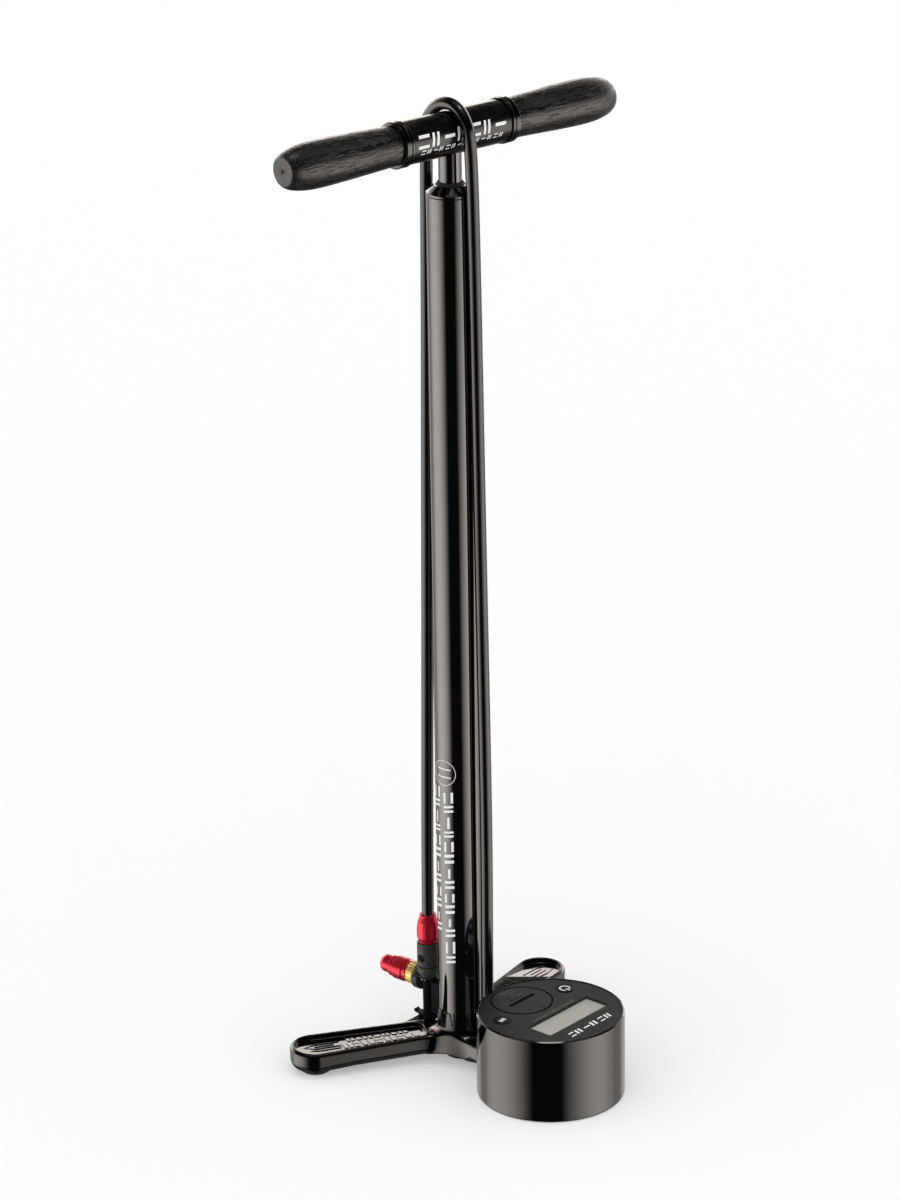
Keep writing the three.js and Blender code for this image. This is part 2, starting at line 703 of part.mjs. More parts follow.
/** The chuck's lower end: a column that stands in the dock, a shoulder, and a short branch along +Y. */
function chuckElbow() {
  const column = rod(4.2, 32.8, 50.9, 20);
  const shoulder = rod(6.9, 49.2, 51, 24);
  const neck = alongBranch(rod(5, 1.2, 6, 20));
  const collar = alongBranch(turned([
    [0, 3.6], [8.3, 3.6], [8.9, 4.4], [8.9, 7.9], [8.4, 8.4], [0, 8.4],
  ], 24));
  return union([column, shoulder, neck, collar]).subtract(block(20, 20, 10, 0, 3, 56));
}

function knurledRing() {
  const plan = new THREE.Shape();
  const teeth = 28;
  for (let i = 0; i < teeth * 2; i++) {
    const angle = (i / teeth) * Math.PI;
    const radius = i % 2 ? 7 : 7.6;
    const corner = [radius * Math.cos(angle), radius * Math.sin(angle)];
    if (i === 0) plan.moveTo(...corner);
    else plan.lineTo(...corner);
  }
  plan.closePath();
  return raised(plan, 8.7, 13.7).subtract(rod(3.2, 8, 15, 20));
}

function valveCoupler() {
  return turned([
    [3.2, 14], [6.9, 14], [7.3, 14.6], [7.3, 30.5], [6.8, 31.3], [5.7, 31.7], [5.5, 35.5],
    [5, 37.9], [4, 39.1], [3.2, 39.1], [3.2, 30.1], [4.6, 30.1], [4.6, 25.7], [3.2, 25.7],
  ], 20);
}

/** The post that the chuck stands in, on its spigot, with a web towards the barrel and a small hook behind. */
function chuckDock() {
  const foot = HUB_TOP + GAP;
  const post = rod(5.6, foot, 48.9, 24).subtract(block(20, 10, 60, 0, 5.6, 40));
  const web = block(7, 7.6, 22.9, 0, -7.8, 37.45);
  const spigot = rod(3, 13, 23, 16);
  const ledge = block(10.6, 12.4, 2, 0, 0.2, foot + 1);
  const hookPlan = new THREE.Shape();
  hookPlan.moveTo(5, foot);
  hookPlan.lineTo(10, foot);
  hookPlan.lineTo(11.4, 24);
  hookPlan.lineTo(10.6, 24.6);
  hookPlan.lineTo(9.2, 23.6);
  hookPlan.lineTo(5, 23.6);
  hookPlan.closePath();
  // the outline's first axis runs along +Y and its second along +Z
  const hook = raised(hookPlan, -2.2, 2.2).rotate([90, 0, 90]);
  const seat = rod(4.5, 32.5, 60, 24);
  return union([post, web, spigot, ledge, hook]).subtract(seat);
}

function chuckParts() {
  const group = new THREE.Group();
  group.position.y = CHUCK_Y;
  const pin = alongBranch(rod(0.9, 8.7, 29.1, 12));
  const seal = alongBranch(ring(4.3, 2.2, 26, 29.8, 20));
  const spring = moved(coil(1.6, 0.25, 2.3, 3.1, 1).rotate([0, -90, 0]), 0, 0, BLEED_Z);
  group.add(
    piece('hose_ferrule', hoseFerrule(), redAlloy),
    piece('chuck_body', chuckBody(), chuckBlack),
    piece('chuck_swivel_ring', swivelRing(), chuckBlack),
    piece('bleed_button', bleedButton(), glossBlack),
    piece('bleed_spring', spring, steel),
    piece('chuck_elbow', chuckElbow(), chuckBlack),
    piece('brass_knurl_ring', alongBranch(knurledRing()), brass),
    piece('valve_coupler', alongBranch(valveCoupler()), redAlloy),
    piece('chuck_seal', seal, rubberBlack),
    piece('valve_pin', pin, steel),
    piece('chuck_dock', chuckDock(), chuckBlack),
  );
  return group;
}

// ---------------------------------------------------------------- assembly
const pump = new THREE.Group();
pump.position.y = AXIS_Y;
pump.add(
  ...foot(),
  gauge(),
  ...barrelParts(),
  handle(),
  ...hoseInlet(),
  piece('hose', hose(), hoseBlack),
  chuckParts(),
);
const group = new THREE.Group();
group.add(pump);

export default group;
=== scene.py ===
"""Looks of the floor pump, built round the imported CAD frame. Shapes are in millimetres and become metres in piece()."""

import json
import math

import bmesh
import bpy
import numpy as np
from mathutils import Matrix, Vector


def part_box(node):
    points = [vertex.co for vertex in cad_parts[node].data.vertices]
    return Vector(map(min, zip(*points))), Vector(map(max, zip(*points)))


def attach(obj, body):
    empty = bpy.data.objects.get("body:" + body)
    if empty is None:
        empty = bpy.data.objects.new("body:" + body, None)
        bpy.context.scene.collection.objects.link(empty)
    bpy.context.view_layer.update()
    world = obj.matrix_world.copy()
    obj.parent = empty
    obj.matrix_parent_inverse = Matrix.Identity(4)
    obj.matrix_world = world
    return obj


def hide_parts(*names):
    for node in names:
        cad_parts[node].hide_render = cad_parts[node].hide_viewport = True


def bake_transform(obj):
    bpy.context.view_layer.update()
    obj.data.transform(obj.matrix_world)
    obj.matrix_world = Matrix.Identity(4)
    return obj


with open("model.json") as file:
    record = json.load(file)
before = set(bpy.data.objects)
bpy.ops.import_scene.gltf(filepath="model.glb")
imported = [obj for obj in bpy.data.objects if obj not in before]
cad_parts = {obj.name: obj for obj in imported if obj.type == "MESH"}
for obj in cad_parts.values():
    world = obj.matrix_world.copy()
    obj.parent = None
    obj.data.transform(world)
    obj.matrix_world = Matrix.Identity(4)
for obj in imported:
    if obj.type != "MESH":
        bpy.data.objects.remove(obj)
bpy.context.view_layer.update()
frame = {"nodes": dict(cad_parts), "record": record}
MM = 0.001


def middle(node):
    """The middle of a CAD node's box, in millimetres."""
    low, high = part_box(node)
    return (low + high) / 2 / MM


def turn(degrees, axis):
    return Matrix.Rotation(math.radians(degrees), 4, axis)


def shift(x=0.0, y=0.0, z=0.0):
    return Matrix.Translation((x, y, z))


# ---------------------------------------------------------------- places, from the CAD
AXIS_Y = middle("barrel").y
GAUGE_Y = middle("gauge_housing").y - AXIS_Y
HANDLE_Z = middle("handle_tube").z
CHUCK_Y = middle("hose_ferrule").y - AXIS_Y
BRANCH_Z = middle("valve_coupler").z
BLEED_Z = middle("bleed_button").z
INLET_Y = middle("hose_inlet_sleeve").y - AXIS_Y
ACROSS = middle("right_grip_stud") - middle("left_grip_stud")
PUMP = shift(y=AXIS_Y)
GAUGE = PUMP @ shift(y=GAUGE_Y)
HANDLE = PUMP @ shift(z=HANDLE_Z) @ turn(math.degrees(math.atan2(ACROSS.y, ACROSS.x)), "Z")
RIGHT = HANDLE @ turn(90, "Y")
LEFT = HANDLE @ turn(180, "Z") @ turn(90, "Y")
INLET = PUMP @ shift(y=INLET_Y)
CHUCK = PUMP @ shift(y=CHUCK_Y)
BRANCH = CHUCK @ shift(z=BRANCH_Z) @ turn(-90, "X")

# ---------------------------------------------------------------- camera
VIEW_AZIMUTH, VIEW_ELEVATION, VIEW_ROLL = -48.96, 20.55, -0.85
VIEW_DISTANCE = 2.85
VIEW_TARGET = (-0.00397, 0.3213)  # across the view and up, from the barrel's axis


def make_camera():
    a, e, roll = (math.radians(d) for d in (VIEW_AZIMUTH, VIEW_ELEVATION, VIEW_ROLL))
    back = Vector((math.sin(a) * math.cos(e), -math.cos(a) * math.cos(e), math.sin(e)))
    right = Vector((math.cos(a), math.sin(a), 0))
    up = back.cross(right)
    target = VIEW_TARGET[0] * right + Vector((0, AXIS_Y * MM, VIEW_TARGET[1]))
    rolled_right = right * math.cos(roll) + up * math.sin(roll)
    rolled_up = up * math.cos(roll) - right * math.sin(roll)
    data = bpy.data.cameras.new("camera")
    data.sensor_width, data.lens = 36, 135
    data.clip_start, data.clip_end = 0.1, 60
    camera = bpy.data.objects.new("camera", data)
    bpy.context.scene.collection.objects.link(camera)
    axes = Matrix((rolled_right, rolled_up, back)).transposed().to_4x4()
    camera.matrix_world = Matrix.Translation(target + VIEW_DISTANCE * back) @ axes
    bpy.context.scene.camera = camera


# ---------------------------------------------------------------- studio
# Brightness of the soft boxes by the angle they stand at, right of the camera as seen from the pump.
BOXES = [
    (-180, 0.3), (-160, 0.7), (-148, 0.9), (-135, 0.6), (-124, 0.9), (-108, 2.3), (-94, 3.0),
    (-78, 3.1), (-62, 2.5), (-50, 1.6), (-42, 0.85), (-34, 0.2), (-29, 0.0), (15, 0.0),
    (20, 0.25), (32, 1.15), (42, 1.8), (52, 2.5), (62, 3.0), (77, 3.2), (89, 2.7), (103, 1.7),
    (119, 0.75), (135, 0.55), (148, 0.95), (160, 0.7), (180, 0.3),
]
BOX_BOTTOM, BOX_TOP = (-43, -29), (-4, 16)  # the boxes fade in and out between these elevations
BEHIND = 3.0  # brightness of the wall behind the pump, low down
OVERHEAD = 6.0  # brightness of the strip overhead
WARM = (1.0, 0.93, 0.87)


class Nodes:
    """Short names for making a node tree."""

    def __init__(self, tree):
        self.tree = tree
        tree.nodes.clear()

    def add(self, kind, inputs=(), **settings):
        node = self.tree.nodes.new(kind)
        for key, value in settings.items():
            setattr(node, key, value)
        for key, value in dict(inputs).items():
            if isinstance(value, bpy.types.NodeSocket):
                self.tree.links.new(value, node.inputs[key])
            else:
                node.inputs[key].default_value = value
        return node

    def math(self, operation, *values, clamp=False):
        return self.add("ShaderNodeMath", dict(enumerate(values)), operation=operation, use_clamp=clamp).outputs[0]

    def ramp(self, value, stops, interpolation="LINEAR"):
        node = self.add("ShaderNodeValToRGB", {"Fac": value})
        ramp = node.color_ramp
        ramp.interpolation = interpolation
        while len(ramp.elements) < len(stops):
            ramp.elements.new(0.5)
        for element, (place, colour) in zip(ramp.elements, sorted(stops, key=lambda stop: stop[0])):
            element.position = place
            element.color = (*colour, 1) if isinstance(colour, tuple) else (colour, colour, colour, 1)
        return node.outputs["Color"]

    def span(self, value, low, high, to_low=0.0, to_high=1.0):
        """value taken smoothly from low..high to to_low..to_high."""
        inputs = {"Value": value, "From Min": low, "From Max": high, "To Min": to_low, "To Max": to_high}
        return self.add("ShaderNodeMapRange", inputs, interpolation_type="SMOOTHSTEP").outputs[0]

    def fade(self, angle, low, high, to_low=0.0, to_high=1.0):
        """The same for an angle, its limits in degrees."""
        return self.span(angle, math.radians(low), math.radians(high), to_low, to_high)

    def product(self, first, *others):
        for other in others:
            first = self.math("MULTIPLY", first, other)
        return first

    def mixed(self, share, first, second):
        return self.add("ShaderNodeMixShader", {0: share, 1: first.outputs[0], 2: second.outputs[0]})

    def show(self, shader, kind="Material"):
        self.add(f"ShaderNodeOutput{kind}", {"Surface": shader.outputs[0]})

    def noise(self, place, scale, detail, **inputs):
        vector = {"Vector": place} if place else {}
        return self.add("ShaderNodeTexNoise", {**vector, "Scale": scale, "Detail": detail, **inputs}).outputs["Fac"]


def new_material(name):
    """A material, its nodes, and the coordinates on the piece."""
    material = bpy.data.materials.new(name)
    material.use_nodes = True
    n = Nodes(material.node_tree)
    return material, n, n.add("ShaderNodeTexCoord").outputs["Object"]


def make_world():
    world = bpy.data.worlds.new("studio")
    world.use_nodes = True
    world.cycles.sampling_method = "NONE"
    bpy.context.scene.world = world
    n = Nodes(world.node_tree)
    way = n.add("ShaderNodeTexCoord").outputs["Generated"]
    turned_way = {"Vector": way, "Angle": math.radians(-VIEW_AZIMUTH)}
    aligned = n.add("ShaderNodeVectorRotate", turned_way, rotation_type="Z_AXIS").outputs[0]
    x, y, z = n.add("ShaderNodeSeparateXYZ", {"Vector": aligned}).outputs
    beside = n.math("ARCTAN2", x, n.math("MULTIPLY", y, -1.0))
    height = n.math("ARCSINE", z)
    away = n.math("ABSOLUTE", beside)
    share = n.math("ADD", n.math("DIVIDE", beside, 2 * math.pi), 0.5)
    most = max(level for _, level in BOXES)
    boxes = n.ramp(share, [((a + 180) / 360, level / most) for a, level in BOXES])
    walls = n.product(boxes, n.fade(height, *BOX_TOP, most, 0.0), n.fade(height, *BOX_BOTTOM, 0.1, 1.0))
    sides = n.product(
        n.fade(away, 105, 135, 0.0, 1.5),
        n.fade(height, 25, 42, 1.0, 0.0),
        n.fade(height, 12, 18),
        n.fade(away, 160, 172, 1.0, 0.1),
    )
    behind = n.product(
        n.fade(away, 100, 125, 0.0, BEHIND),
        n.fade(height, 16.5, 20.5, 1.0, 0.0),
        n.fade(height, -4, 1),
    )
    above = n.math("ADD", n.fade(height, 52, 64, 0.0, 0.3), n.fade(height, 79, 84, 0.0, OVERHEAD))
    total = n.math("ADD", n.math("ADD", walls, n.math("ADD", sides, behind)), n.math("ADD", above, 0.012))
    seen = n.add("ShaderNodeBackground", {"Color": (1, 1, 1, 1), "Strength": 1.0})
    soft = n.add("ShaderNodeBackground", {"Color": (1, 1, 1, 1), "Strength": 1.06})
    mirrored = n.add("ShaderNodeBackground", {"Color": (*WARM, 1), "Strength": total})
    path = n.add("ShaderNodeLightPath")
    both = n.mixed(path.outputs["Is Glossy Ray"], n.mixed(path.outputs["Is Camera Ray"], soft, seen), mirrored)
    n.show(both, "World")


def make_floor():
    mesh = bpy.data.meshes.new("floor")
    far = 14.0
    mesh.from_pydata([(-far, -far, 0), (far, -far, 0), (far, far, 0), (-far, far, 0)], [], [(0, 1, 2, 3)])
    floor = bpy.data.objects.new("floor", mesh)
    bpy.context.scene.collection.objects.link(floor)
    floor.location.z = -0.0002
    material, n, _ = new_material("studio_floor")
    tone = n.ramp(n.noise(None, 3.0, 2.0), [(0.3, 0.955), (0.7, 0.965)])
    diffuse = n.add("ShaderNodeBsdfDiffuse", {"Color": tone, "Roughness": 1.0})
    glow = n.add("ShaderNodeEmission", {"Color": tone, "Strength": 1.02})
    n.show(n.mixed(0.3, diffuse, glow))
    mesh.materials.append(material)
    floor.visible_glossy = False


# ---------------------------------------------------------------- materials
def surface(name, colour, rough, metallic=0.0, ior=1.5, vary=0.25, grain=260.0, bump=0.0, fine=2400.0,
            stretch=(1, 1, 1), coat=0.0, speck=None):
    """A procedural finish: the colour and roughness wander with a coarse grain, and a fine one lifts the surface."""
    material, n, place = new_material(name)
    place = n.add("ShaderNodeMapping", {"Vector": place, "Scale": stretch}).outputs[0]
    coarse = n.noise(place, grain, 4.0)
    dark = tuple(c * (1 - vary) for c in colour)
    light = tuple(min(1.0, c * (1 + vary)) for c in colour)
    tone = n.ramp(coarse, [(0.3, dark), (0.7, light)])
    fine_grain = n.noise(place, fine, 3.0)
    if speck:
        spots = n.span(fine_grain, 0.62, 0.7)
        tone = n.add("ShaderNodeMix", {0: spots, 6: tone, 7: (*speck, 1)}, data_type="RGBA").outputs[2]
    inputs = {
        "Base Color": tone,
        "Roughness": n.span(coarse, 0.25, 0.75, rough[0], rough[1]),
        "Metallic": metallic,
        "IOR": ior,
        "Coat Weight": coat,
    }
    if bump:
        lifted = {"Height": fine_grain, "Strength": 1.0, "Distance": bump * MM}
        inputs["Normal"] = n.add("ShaderNodeBump", lifted).outputs[0]
    shader = n.add("ShaderNodeBsdfPrincipled", inputs)
    n.show(shader)
    return material


def wood():
    """Black-stained open-grained wood: long pores, a sheen between them, and broad lighter bands."""
    material, n, place = new_material("stained_wood")
    along = n.add("ShaderNodeMapping", {"Vector": place, "Scale": (1, 1, 0.07)}).outputs[0]
    figure = n.noise(along, 330.0, 5.0, Distortion=0.5)
    open_pore = n.span(n.noise(along, 1500.0, 2.0), 0.36, 0.44, 1.0, 0.0)
    stops = [(0.3, (0.003, 0.0026, 0.0024)), (0.5, (0.007, 0.0062, 0.0057)), (0.72, (0.018, 0.016, 0.0145))]
    tone = n.ramp(figure, stops)
    tone = n.add("ShaderNodeMix", {0: open_pore, 6: tone, 7: (0.0012, 0.001, 0.001, 1)}, data_type="RGBA").outputs[2]
    height = n.math("SUBTRACT", n.math("MULTIPLY", figure, 0.4), open_pore)
    shader = n.add("ShaderNodeBsdfPrincipled", {
        "Base Color": tone,
        "Roughness": n.math("ADD", n.span(figure, 0.3, 0.7, 0.22, 0.31), n.math("MULTIPLY", open_pore, 0.3)),
        "IOR": 1.52,
        "Normal": n.add("ShaderNodeBump", {"Height": height, "Strength": 0.7, "Distance": 0.12 * MM}).outputs[0],
    })
    n.show(shader)
    return material


def lens():
    """Clear window of the display, faintly smoked, with a few hairline scuffs."""
    material, n, place = new_material("clear_window")
    scuff = n.noise(place, 700.0, 3.0)
    clear = n.add("ShaderNodeBsdfTransparent", {"Color": (0.96, 0.96, 0.955, 1)})
    gloss = n.add("ShaderNodeBsdfGlossy", {"Color": (1, 1, 1, 1), "Roughness": n.span(scuff, 0.3, 0.7, 0.02, 0.09)})
    front = n.math("SUBTRACT", 1.0, n.add("ShaderNodeNewGeometry").outputs["Backfacing"])
    edge = n.math("MULTIPLY", n.add("ShaderNodeFresnel", {"IOR": 1.49}).outputs[0], front)
    n.show(n.mixed(edge, clear, gloss))
    return material


SURFACES = {  # colour, roughness from and to, and what else differs
    "gloss_black": ((0.0014, 0.0012, 0.0011), (0.05, 0.085), dict(ior=1.62, grain=60, bump=0.0015, fine=500)),
    "polished_black": ((0.0014, 0.0012, 0.0011), (0.045, 0.075), dict(ior=1.95, grain=60, bump=0.001, fine=500)),
    "satin_black": ((0.003, 0.0028, 0.0027), (0.17, 0.23), dict(grain=90, bump=0.003, fine=2600)),
    "deep_black": ((0.003, 0.003, 0.003), (0.5, 0.65), dict(ior=1.2, grain=200, bump=0.02, fine=1700)),
    "face_black": ((0.0085, 0.0083, 0.008), (0.6, 0.7), dict(ior=1.35, grain=140, bump=0.012, fine=2600)),
    "lcd_grey": ((0.52, 0.515, 0.47), (0.4, 0.5), dict(vary=0.05, grain=30, bump=0.002, fine=4000)),
    "red_alloy": (
        (0.53, 0.009, 0.027), (0.28, 0.36),
        dict(metallic=0.6, vary=0.06, grain=300, bump=0.002, fine=2200, stretch=(1, 1, 6), coat=0.15),
    ),
    "brass": (
        (0.84, 0.7, 0.28), (0.28, 0.4),
        dict(metallic=0.75, vary=0.08, grain=300, bump=0.004, fine=2500, stretch=(1, 1, 6)),
    ),
    "chuck_black": ((0.028, 0.027, 0.026), (0.46, 0.6), dict(grain=200, bump=0.02, fine=1700)),
    "hose_rubber": ((0.0022, 0.002, 0.0019), (0.12, 0.18), dict(ior=1.6, grain=120, bump=0.003, fine=900)),
    "rubber": ((0.014, 0.0138, 0.0135), (0.7, 0.85), dict(grain=180, bump=0.03, fine=1400)),
    "steel": (
        (0.56, 0.565, 0.57), (0.22, 0.36),
        dict(metallic=1.0, vary=0.08, grain=260, bump=0.004, fine=2600, stretch=(1, 1, 8)),
    ),
    "board_green": (
        (0.012, 0.09, 0.035), (0.35, 0.5),
        dict(vary=0.3, grain=420, bump=0.01, fine=1500, speck=(0.5, 0.36, 0.12)),
    ),
    "nylon": ((0.7, 0.69, 0.64), (0.4, 0.52), dict(vary=0.05, grain=160, bump=0.01, fine=1800)),
    "print_white": ((0.82, 0.82, 0.81), (0.4, 0.5), dict(vary=0.05, grain=500, bump=0.003, fine=3500)),
    "print_grey": ((0.13, 0.13, 0.128), (0.45, 0.55), dict(vary=0.08, grain=500, bump=0.003, fine=3500)),
}
FINISHES = {name: surface(name, colour, rough, **more) for name, (colour, rough, more) in SURFACES.items()}
FINISHES.update(clear_lens=lens(), black_wood=wood())


# ---------------------------------------------------------------- shapes: (points in millimetres, faces)
def rounded(outline, closed=False, steps=5):
    """The outline's [a, b] points, with an arc at each corner that is given as [a, b, radius]."""
    made = []
    count = len(outline)
    for i, corner in enumerate(outline):
        here = np.array(corner[:2], float)
        if len(corner) < 3 or (not closed and i in (0, count - 1)):
            made.append(here)
            continue
        before = np.array(outline[i - 1][:2], float) - here
        after = np.array(outline[(i + 1) % count][:2], float) - here
        lengths = np.linalg.norm(before), np.linalg.norm(after)
        before, after = before / lengths[0], after / lengths[1]
        half = math.acos(max(-1.0, min(1.0, float(before @ after)))) / 2
        if half > math.radians(88):
            made.append(here)
            continue
        reach = min(corner[2] / math.tan(half), 0.49 * min(lengths))
        radius = reach * math.tan(half)
        inward = (before + after) / np.linalg.norm(before + after)
        centre = here + inward * radius / math.sin(half)
        start, end = here + before * reach - centre, here + after * reach - centre
        sweep = math.atan2(start[0] * end[1] - start[1] * end[0], float(start @ end))
        for k in range(steps + 1):
            c, s = math.cos(sweep * k / steps), math.sin(sweep * k / steps)
            made.append(centre + np.array([start[0] * c - start[1] * s, start[0] * s + start[1] * c]))
    return [tuple(map(float, p)) for p in made]


def loft(rings, closed=False):
    """Faces between rings of point numbers. A ring of one point closes an end."""
    faces = []
    for low, high in [*zip(rings, rings[1:]), *([(rings[-1], rings[0])] if closed else [])]:
        count = max(len(low), len(high))
        for j in range(count if count > 1 else 0):
            k = (j + 1) % count
            corners = (low[j % len(low)], low[k % len(low)], high[k % len(high)], high[j % len(high)])
            faces.append(tuple(dict.fromkeys(corners)))
    return faces


def capped(points, sides):
    """A closed shape from points in rings of so many sides."""
    rings = [range(i, i + sides) for i in range(0, len(points), sides)]
    return points, [*loft(rings), tuple(rings[0])[::-1], tuple(rings[-1])]


def turned(outline, segments=96, closed=False, steps=5, wave=None):
    """A body of revolution about Z from [radius, z, corner radius] points. wave(angle, radius, z) bends the radius."""
    profile = rounded(outline, closed, steps)
    points, rings = [], []
    angles = [2 * math.pi * j / segments for j in range(segments)]
    for r, z in profile:
        if r < 1e-6:
            rings.append([len(points)])
            points.append((0.0, 0.0, z))
            continue
        rings.append(range(len(points), len(points) + segments))
        for a in angles:
            radius = wave(a, r, z) if wave else r
            points.append((radius * math.cos(a), radius * math.sin(a), z))
    return points, loft(rings, closed)


def circle(radius, x=0.0, y=0.0, count=96):
    return [
        (x + radius * math.cos(2 * math.pi * i / count), y + radius * math.sin(2 * math.pi * i / count))
        for i in range(count)
    ]


def box_loop(width, depth, x=0.0, y=0.0, radius=0.0):
    corner = (radius,) if radius else ()
    return rounded([
        (x + a * width / 2, y + b * depth / 2, *corner) for a, b in ((-1, -1), (1, -1), (1, 1), (-1, 1))
    ], True)


def plate(outside, low, high, holes=(), bevel=0.0):
    """A flat outline with holes, raised from low to high, its edges rounded by bevel."""
    curve = bpy.data.curves.new("plan", "CURVE")
    curve.dimensions, curve.fill_mode = "2D", "BOTH"
    curve.extrude = (high - low) / 2 - bevel
    curve.bevel_depth, curve.bevel_resolution, curve.offset = bevel, 2, -bevel
    for number, loop in enumerate([outside, *holes]):
        area = sum(a[0] * b[1] - b[0] * a[1] for a, b in zip(loop, [*loop[1:], loop[0]]))
        if (area > 0) == (number > 0):
            loop = loop[::-1]
        spline = curve.splines.new("POLY")
        spline.points.add(len(loop) - 1)
        spline.points.foreach_set("co", [c for x, y in loop for c in (x, y, 0.0, 1.0)])
        spline.use_cyclic_u = True
    holder = bpy.data.objects.new("plan", curve)
    mesh = bpy.data.meshes.new_from_object(holder)
    points = [(v.co.x, v.co.y, v.co.z + (low + high) / 2) for v in mesh.vertices]
    faces = [tuple(p.vertices) for p in mesh.polygons]
    bpy.data.objects.remove(holder)
    bpy.data.curves.remove(curve)
    bpy.data.meshes.remove(mesh)
    return points, faces


def moved(shape, place):
    points, faces = shape
    return [tuple(place @ Vector(p)) for p in points], faces


def joined(*shapes):
    points, faces = [], []
    for some, their_faces in shapes:
        start = len(points)
        points += [tuple(p) for p in some]
        faces += [tuple(i + start for i in f) for f in their_faces]
    return points, faces


def placed(name, mesh, place, finish):
    """A new object of a mesh in metres, at a place in millimetres."""
    mesh.materials.append(FINISHES[finish])
    obj = bpy.data.objects.new(name, mesh)
    bpy.context.scene.collection.objects.link(obj)
    in_metres = place.copy()
    in_metres.translation *= MM
    obj.matrix_world = in_metres
    return obj


def piece(name, shape, slot, body, stands_for=(), place=PUMP, finish=None, sharp=40, weighted=True):
    """A named object of a shape in millimetres, with its finish, that rides on a body and stands for CAD nodes."""
    points, faces = shape
    mesh = bpy.data.meshes.new(name)
    mesh.from_pydata((np.array(points, float) * MM).tolist(), [], faces)
    work = bmesh.new()
    work.from_mesh(mesh)
    bmesh.ops.remove_doubles(work, verts=work.verts, dist=1e-7)
    bmesh.ops.dissolve_degenerate(work, dist=1e-8, edges=work.edges)
    bmesh.ops.recalc_face_normals(work, faces=work.faces)
    work.to_mesh(mesh)
    work.free()
    mesh.polygons.foreach_set("use_smooth", [True] * len(mesh.polygons))
    mesh.set_sharp_from_angle(angle=math.radians(sharp))
    obj = placed(name, mesh, place, finish or slot)
    if weighted:
        even = obj.modifiers.new("even_normals", "WEIGHTED_NORMAL")
        even.keep_sharp = True
    if body:
        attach(obj, body)
    if stands_for:
        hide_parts(*stands_for)
    return obj


# ---------------------------------------------------------------- hose
HOSE_R = 4.0
HOSE_ROUTE = [
    (0, -21.7, 40.3), (0, -22.2, 85), (0, -22.7, 150), (0, -22.3, 220), (0, -21.5, 290),
    (0, -20.7, 360), (-0.3, -20.2, 430), (-0.9, -20.0, 500), (-1.6, -19.8, 560),
    (-2.4, -19.6, 600), (-3.2, -19.2, 620), (-3.5, -17.4, 632), (-2.6, -12.2, 639.3),
    (-1.2, -6.3, 642.7), (0, 0, 643.8), (0.6, 6.4, 642.8), (0.8, 12.4, 639.4),
    (0.6, 17.4, 632.2), (0.4, 19.2, 621), (0.2, 19.5, 600), (0, 19.9, 560),
    (0, 21.0, 490), (0, 22.4, 420), (0, 23.7, 350), (0, 25.1, 280),
    (0, 26.6, 210), (0, 27.9, 145), (0, 28.5, 95.6),
]


def smooth_line(route, per_span=24):
    """A centripetal Catmull-Rom curve through the route's points."""
    p = [np.array(q, float) for q in route]
    p = [2 * p[0] - p[1], *p, 2 * p[-1] - p[-2]]
    line = []
    for a, b, c, d in zip(p, p[1:], p[2:], p[3:]):
        k0, k1, k2 = (math.sqrt(np.linalg.norm(v)) for v in (b - a, c - b, d - c))
        t1 = ((b - a) / k0 - (c - a) / (k0 + k1) + (c - b) / k1) * k1
        t2 = ((c - b) / k1 - (d - b) / (k1 + k2) + (d - c) / k2) * k1
        for i in range(per_span):
            s = i / per_span
            at_ends = (2 * s**3 - 3 * s**2 + 1) * b + (3 * s**2 - 2 * s**3) * c
            line.append(at_ends + (s**3 - 2 * s**2 + s) * t1 + (s**3 - s**2) * t2)
    return np.array([*line, p[-2]])


def evenly(line, step):
    along = np.concatenate([[0], np.cumsum(np.linalg.norm(np.diff(line, axis=0), axis=1))])
    at = np.linspace(0, along[-1], math.ceil(along[-1] / step) + 1)
    return np.stack([np.interp(at, along, line[:, k]) for k in range(3)], axis=1)


def ways_along(line):
    ways = np.gradient(line, axis=0)
    return ways / np.linalg.norm(ways, axis=1)[:, None]


def tube(line, radius, sides=32):
    """A closed tube round a line of points, its section carried along without twist."""
    ways = ways_along(line)
    side = np.cross(ways[0], (1.0, 0.0, 0.0))
    points = []
    for centre, way in zip(line, ways):
        side = side - way * (side @ way)
        side /= np.linalg.norm(side)
        other = np.cross(way, side)
        for a in np.arange(sides) * 2 * math.pi / sides:
            points.append(tuple(centre + radius * (math.cos(a) * side + math.sin(a) * other)))
    return capped(points, sides)


def make_hose():
    line = evenly(smooth_line(HOSE_ROUTE), 2.5)
    hose = piece("hose_tube", tube(line, HOSE_R), "hose_rubber", None, ["hose"], place=shift(y=AXIS_Y), weighted=False)
    path = [(x * MM, (y + AXIS_Y) * MM, z * MM) for x, y, z in line]
    return hose, path


# ---------------------------------------------------------------- foot
LEG_TOP_HUB = 22.0
LEG_DROP = {"left": 4.2, "right": 2.6}  # from hub to tip
LEG_ROOT_HALF, LEG_TIP_R = 11.2, 16.8
LEG_BOTTOMS = ((0, 0.25, 0.5, 0.75, 0.9, 1.0), (7.2, 6.8, 6.2, 5.4, 4.4, 3.5))  # share along a leg, height
TRAY_R, TRAY_LOW, TRAY_TOP = 47.85, 0.5, 13.0
POCKET_START, POCKET_INSET = 0.25, 3.0
POCKET_SLOPE, POCKET_DEPTHS = 0.1, (0.45, 3.2)  # the pocket's floor falls away from the camera, between two depths


SCREW_CIRCLE = 39.4


